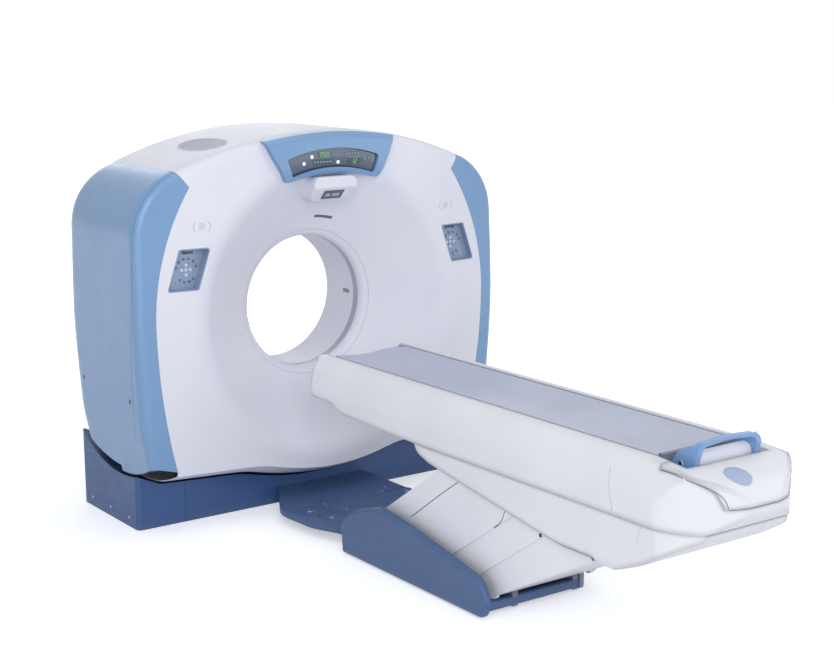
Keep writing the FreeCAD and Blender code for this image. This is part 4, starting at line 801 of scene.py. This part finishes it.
def cover_screws():
    """Screws round the rear cover."""
    screws = Detail("rear_screws", GANTRY, "bright_steel", finishes["bright_steel"])
    middle = Vector((0, REAR_SCREW_PLANE, ISO))
    for degrees in REAR_SCREWS:
        spot = round_from(middle, *REAR_SCREW_RING, math.radians(degrees))
        screws.patch(["rear_cover"], spot, ACROSS, UP, disc(SCREW_RADIUS, 16), BACK, dome=SCREW_DOME)
    screws.finish()


# ---------------------------------------------------------------- base and table detail
BASE_JOINT_HEIGHTS = (0.004, 0.10, 0.20, 0.262)
BASE_SCREWS_Y = (-0.08, 0.14, 0.36)
BASE_SCREWS_Z = 0.05
HALF_GAP = 0.0003            # from the base cover's end to the middle of its joint


def base_detail():
    """Joints between the base cover and its ends, and a row of screws in each end."""
    low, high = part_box("gantry_base_cover")
    seams = Detail("base_joints", FLOOR_UNIT, "base_plastic", navy_shadow)
    names = ["gantry_base_cover", "base_end_left", "base_end_right"]
    for _, side in SIDES:
        x = side * (high.x + HALF_GAP)
        for y, outward in ((low.y, TOWARDS_TABLE), (high.y, BACK)):
            line = [(x, y, z) for z in BASE_JOINT_HEIGHTS]
            seams.ribbon(names, line, always(outward), JOINT_LINE)
    seams.finish()
    screws = Detail("base_screws", FLOOR_UNIT, "bright_steel", finishes["bright_steel"])
    for label, side in SIDES:
        end = "base_end_" + label
        end_low, end_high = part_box(end)
        x = end_low.x if side < 0 else end_high.x
        for y in BASE_SCREWS_Y:
            spot = Vector((x, y, BASE_SCREWS_Z))
            screws.sideways([end], spot, disc(SCREW_RADIUS, 16), side, dome=SCREW_DOME)
    screws.finish()


def flank(side, places):
    """Points on one side of the table, mirrored for the other."""
    return [(side * x, y, z) for x, y, z in places]


LEG_JOINT = ((0.3, -1.905, 0.545), (0.3, -1.761, 0.447), (0.3, -1.536, 0.286))
LEG_HOOK = ((0.3, -2.150, 0.397), (0.3, -2.183, 0.421), (0.3, -2.207, 0.449), (0.3, -2.222, 0.487))
LEG_STUD = (0.294, -2.452, 0.441)
STUD_RADIUS, STUD_LIFT, STUD_DOME = 0.009, 0.001, 0.001


def leg_detail(side, label):
    """Moulded joint lines and a stud on the leg's shells."""
    for name, line in (("leg_front_joint_", LEG_JOINT), ("leg_front_edge_", LEG_HOOK)):
        joint = Detail(name + label, FRONT_ARM, "leg_shell", joint_shadow)
        joint.ribbon(["leg_shell_front"], flank(side, line), always(ACROSS * side), LEG_LINE)
        joint.finish()
    stud = Detail("leg_stud_" + label, MIDDLE_SHELL, "dark_trim", black_hole)
    spot = Vector((side * LEG_STUD[0], LEG_STUD[1], LEG_STUD[2]))
    stud.sideways(["leg_shell_middle"], spot, disc(STUD_RADIUS, 18), side,
                  lift=STUD_LIFT, dome=STUD_DOME)
    stud.finish()


UPPER_CASING_JOINT = ((0.305, -2.878, 0.838), (0.318, -2.890, 0.780), (0.326, -2.914, 0.672))
LOWER_CASING_JOINT = ((0.318, -3.069, 0.645), (0.317, -3.055, 0.610), (0.316, -3.045, 0.575))
CASING_SEAM_HEIGHT = 0.6548
CASING_SEAM_INSETS = (0.16, 0.03)      # from the lower casing's tail and from its head
CASING_SEAM_STEPS = 40


def casing_detail(side, label):
    """Moulded joint lines of the table's casing."""
    outward = always(ACROSS * side)
    lines = Detail("casing_joints_" + label, TABLE, "white_shell", faint_shadow)
    lines.ribbon(["upper_casing"], flank(side, UPPER_CASING_JOINT), outward, FINE_LINE)
    lines.ribbon(["lower_casing"], flank(side, LOWER_CASING_JOINT), outward, FINE_LINE)
    lines.finish()


def casing_seam(side, label):
    """Dark line in the joint between the two halves of the casing."""
    line = Detail("casing_seam_" + label, TABLE, "white_shell", joint_shadow)
    low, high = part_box("lower_casing")
    start = low.y + CASING_SEAM_INSETS[0]
    length = high.y - low.y - sum(CASING_SEAM_INSETS)
    points = [(side * high.x, start + length * k / CASING_SEAM_STEPS, CASING_SEAM_HEIGHT)
              for k in range(CASING_SEAM_STEPS + 1)]
    line.ribbon(["upper_casing", "lower_casing"], points, always(ACROSS * side), FINE_LINE, steps=1)
    line.finish()


CRADLE_STRIP_INSETS = (0.004, 0.02)    # from the cradle's sides and from its ends
CRADLE_STRIP_WIDTH = 0.005
CRADLE_STRIP_STEPS = 30


def cradle_detail():
    """Dark strips along the cradle's edges: painted shade of the gap between the cradle and the casing."""
    low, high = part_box("cradle")
    beside, before = CRADLE_STRIP_INSETS
    # painted shade of the gap beside each edge of the cradle
    strips = Detail("cradle_edges", CRADLE, "dark_trim", joint_shadow)
    length = high.y - low.y - 2 * before
    for _, side in SIDES:
        points = [(side * (high.x - beside), low.y + before + length * k / CRADLE_STRIP_STEPS, high.z)
                  for k in range(CRADLE_STRIP_STEPS + 1)]
        strips.ribbon(["cradle"], points, always(UP), CRADLE_STRIP_WIDTH, steps=1)
    strips.finish()


TAIL_MIDDLE = Vector((0, -3.10, 0.76))
HATCH_LINE = ((-0.290, -3.125, 0.880), (-0.281, -3.183, 0.878), (-0.268, -3.275, 0.863),
              (-0.227, -3.321, 0.840), (-0.189, -3.351, 0.813), (-0.171, -3.363, 0.786),
              (-0.163, -3.368, 0.762))
HATCH_FOOT = ((-0.163, -3.368, 0.756), (-0.120, -3.386, 0.756), (-0.060, -3.399, 0.756),
              (0.0, -3.401, 0.756))
TAIL_DISC_CENTRE = Vector((-0.0646, -3.3169, 0.8621))
TAIL_DISC_RADIUS = 0.056
TAIL_DISC_LIFT, TAIL_DISC_DOME = 0.002, 0.003
TAIL_LINE_WIDTH, TAIL_LINE_LIFT = 0.0032, 0.0009
PIVOT_RADIUS, PIVOT_DOME = 0.0086, 0.0012


def tail_joint():
    """Joint line round the hatch in the table's tail."""
    seams = Detail("hatch_joint", TABLE, "white_shell", joint_shadow)
    for line in (HATCH_LINE, HATCH_FOOT):
        for mirror in (1, -1):
            seams.ribbon(["upper_casing", "tail_cover"], flank(mirror, line), out_of_tail,
                         TAIL_LINE_WIDTH, lift=TAIL_LINE_LIFT, steps=5)
    seams.finish()


def tail_disc():
    """Bare round plate on the tail."""
    plate = Detail("tail_disc", TABLE, "white_shell", disc_blue)
    normal = on_surface(["tail_cover"], TAIL_DISC_CENTRE, UP)[1]
    along = ACROSS.cross(normal).normalized()
    plate.patch(["tail_cover"], TAIL_DISC_CENTRE, ACROSS, along, disc(TAIL_DISC_RADIUS, 36), normal,
                lift=TAIL_DISC_LIFT, dome=TAIL_DISC_DOME, rings=4)
    plate.finish()


def handle_pivots():
    """Dark ends of the release handle's pivots."""
    pivots = Detail("handle_pivots", TABLE, "dark_trim", black_hole)
    low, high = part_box("handle_mount")
    _, y, z = joints["release_handle_lift"]["pos_m"]
    for side, x in ((-1, low.x), (1, high.x)):
        pivots.sideways(["handle_mount"], Vector((x, y, z)), disc(PIVOT_RADIUS, 18), side,
                        lift=GLAZED, dome=PIVOT_DOME)
    pivots.finish()


PEDAL_ARROW = ((0.0, 0.018), (-0.016, -0.010), (0.016, -0.010))
PEDAL_MARK_SHIFT = 0.02      # outwards from the pedal's middle
# dots beside the pedals, partly printed and partly painted highlights
PLATFORM_DOTS = ((-0.1726, -0.593), (-0.128, -0.732), (0.248, -0.528), (0.194, -0.579))
PLATFORM_HEIGHT = 0.088
DOT_RADIUS, DOT_DOME = 0.006, 0.001


def pedal_detail():
    """Direction marks on the pedals, and small dots beside them, partly printed and partly painted highlights."""
    for label, side in SIDES:
        for number, points_to in ((1, 1), (2, -1)):
            node = "pedal_%s_%d" % (label, number)
            low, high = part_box(node)
            centre = Vector(((low.x + high.x) / 2 + side * PEDAL_MARK_SHIFT,
                             (low.y + high.y) / 2, high.z))
            arrow = [(u * points_to, v * points_to) for u, v in PEDAL_ARROW]
            mark = Detail("pedal_mark_%s_%d" % (label, number),
                          "%s_pedal_%d" % (label, number), "pedal", icon_and_highlight_blue)
            mark.patch([node], centre, ACROSS, BACK, arrow, UP, rings=1)
            mark.finish()
    # partly printed dots and partly painted highlights
    dots = Detail("platform_dots", FLOOR_UNIT, "pedal", icon_and_highlight_blue)
    for x, y in PLATFORM_DOTS:
        dots.patch(["pedal_housing"], Vector((x, y, PLATFORM_HEIGHT)), ACROSS, BACK,
                   disc(DOT_RADIUS, 14), UP, dome=DOT_DOME)
    dots.finish()


for label, side in SIDES:
    keypad_detail(side, label)
    intercom_detail(side, label)
    side_detail(side, label)
    vent_detail(side, label)
    leg_detail(side, label)
    casing_detail(side, label)
    casing_seam(side, label)
display_detail()
pod_detail()
bore_detail()
service_hatch()
cover_screws()
base_detail()
tail_joint()
tail_disc()
handle_pivots()
cradle_detail()
pedal_detail()


# ---------------------------------------------------------------- studio
FLOOR_RADIUS = 40.0
FLOOR_PLACE = (0, -1.2, -0.001)
FLOOR_GREY = (0.82, 0.83, 0.85, 1)
FLOOR_GLOW = (("From Min", 3.0), ("From Max", 9.0), ("To Min", 0.45), ("To Max", 1.0))
AMBIENT_COLOUR = (0.90, 0.94, 1.0, 1)
AMBIENT_STRENGTH = 0.55
PURE_WHITE = (1, 1, 1, 1)


def maths(shader_tree, operation, first, second):
    """Math node over two outputs."""
    node = shader_tree.nodes.new("ShaderNodeMath")
    node.operation = operation
    shader_tree.links.new(first, node.inputs[0])
    shader_tree.links.new(second, node.inputs[1])
    return node.outputs[0]


def seen_directly(shader_tree, *rays):
    """1 for these kinds of ray, and 0 for the rest."""
    path = shader_tree.nodes.new("ShaderNodeLightPath")
    seen = path.outputs[rays[0]]
    for ray in rays[1:]:
        seen = maths(shader_tree, "MAXIMUM", seen, path.outputs[ray])
    return seen


def floor_fade(shader_tree):
    """Share of white that grows with distance from the object."""
    place = shader_tree.nodes.new("ShaderNodeTexCoord")
    distance = shader_tree.nodes.new("ShaderNodeVectorMath")
    distance.operation = "LENGTH"
    shader_tree.links.new(place.outputs["Object"], distance.inputs[0])
    fade = shader_tree.nodes.new("ShaderNodeMapRange")
    for name, value in FLOOR_GLOW:
        fade.inputs[name].default_value = value
    shader_tree.links.new(distance.outputs["Value"], fade.inputs["Value"])
    return fade.outputs["Result"]


def floor_material():
    """Matt floor that takes the object's shadow and looks white to the camera."""
    material = bpy.data.materials.new("studio_floor")
    material.use_nodes = True
    shader_tree = material.node_tree
    matt = shader_tree.nodes["Principled BSDF"]
    matt.inputs["Base Color"].default_value = FLOOR_GREY
    matt.inputs["Roughness"].default_value = 0.9
    glow = shader_tree.nodes.new("ShaderNodeEmission")
    glow.inputs["Color"].default_value = PURE_WHITE
    seen = seen_directly(shader_tree, "Is Camera Ray", "Is Glossy Ray")
    amount = maths(shader_tree, "MULTIPLY", seen, floor_fade(shader_tree))
    shader_tree.links.new(amount, glow.inputs["Strength"])
    both = shader_tree.nodes.new("ShaderNodeAddShader")
    shader_tree.links.new(matt.outputs[0], both.inputs[0])
    shader_tree.links.new(glow.outputs[0], both.inputs[1])
    shader_tree.links.new(both.outputs[0], shader_tree.nodes["Material Output"].inputs["Surface"])
    return material


def add_floor():
    """Plain round floor just under the object."""
    bpy.ops.mesh.primitive_circle_add(vertices=96, radius=FLOOR_RADIUS, fill_type="NGON",
                                      location=FLOOR_PLACE)
    floor = bpy.context.object
    floor.name = "studio_floor"
    floor.data.materials.append(floor_material())


def add_world():
    """Even ambient light, and a white background for what the camera sees."""
    world = bpy.data.worlds.new("studio")
    bpy.context.scene.world = world
    world.use_nodes = True
    shader_tree = world.node_tree
    ambient = shader_tree.nodes["Background"]
    ambient.inputs["Color"].default_value = AMBIENT_COLOUR
    ambient.inputs["Strength"].default_value = AMBIENT_STRENGTH
    white = shader_tree.nodes.new("ShaderNodeBackground")
    white.inputs["Color"].default_value = PURE_WHITE
    mix = shader_tree.nodes.new("ShaderNodeMixShader")
    seen = seen_directly(shader_tree, "Is Camera Ray", "Is Transmission Ray", "Is Glossy Ray")
    for number, output in enumerate((seen, ambient.outputs[0], white.outputs[0])):
        shader_tree.links.new(output, mix.inputs[number])
    shader_tree.links.new(mix.outputs[0], shader_tree.nodes["World Output"].inputs["Surface"])


def add_lamp(name, place, target, size, power, colour=(1, 1, 1)):
    """Round soft lamp turned towards a target."""
    data = bpy.data.lights.new(name, "AREA")
    data.shape = "DISK"
    data.size = size
    data.energy = power
    data.color = colour
    lamp = bpy.data.objects.new(name, data)
    bpy.context.scene.collection.objects.link(lamp)
    lamp.location = place
    direction = Vector(target) - Vector(place)
    lamp.rotation_euler = direction.to_track_quat("-Z", "Y").to_euler()


def camera_turn():
    """Rotation of the camera from its azimuth, elevation and roll."""
    azimuth, elevation, roll = (math.radians(value) for value in
                                (CAMERA_AZIMUTH, CAMERA_ELEVATION, CAMERA_ROLL))
    away = Vector((math.sin(azimuth) * math.cos(elevation),
                   -math.cos(azimuth) * math.cos(elevation), math.sin(elevation)))
    level = (-away).cross(UP).normalized()
    upright = level.cross(-away)
    right = level * math.cos(roll) + upright * math.sin(roll)
    above = upright * math.cos(roll) - level * math.sin(roll)
    return Matrix((right, above, away)).transposed().to_4x4()


def add_camera():
    """Camera at the photograph's place and angle."""
    data = bpy.data.cameras.new("photo_camera")
    data.sensor_width = SENSOR
    data.lens = FOCAL_PIXELS / IMAGE_WIDTH * SENSOR
    camera = bpy.data.objects.new("photo_camera", data)
    bpy.context.scene.collection.objects.link(camera)
    camera.matrix_world = Matrix.Translation(CAMERA_PLACE) @ camera_turn()
    bpy.context.scene.camera = camera


add_floor()
add_world()
add_lamp("key", (-5.2, -11.0, 5.4), (0, -1.0, 0.9), size=6.5, power=495)
add_lamp("fill", (4.5, -6.5, 3.0), (0, -1.0, 1.0), size=4.0, power=60, colour=(0.96, 0.98, 1.0))
add_lamp("top", (0.0, -2.0, 6.5), (0, -1.2, 0.8), size=5.0, power=60)
add_lamp("rear", (2.0, 6.5, 3.0), (0, 0, 1.0), size=4.0, power=90)
add_lamp("low", (-4.6, -4.2, 1.1), (-0.2, -0.8, 0.6), size=2.5, power=26)
add_camera()
bpy.context.scene.view_settings.view_transform = "Standard"
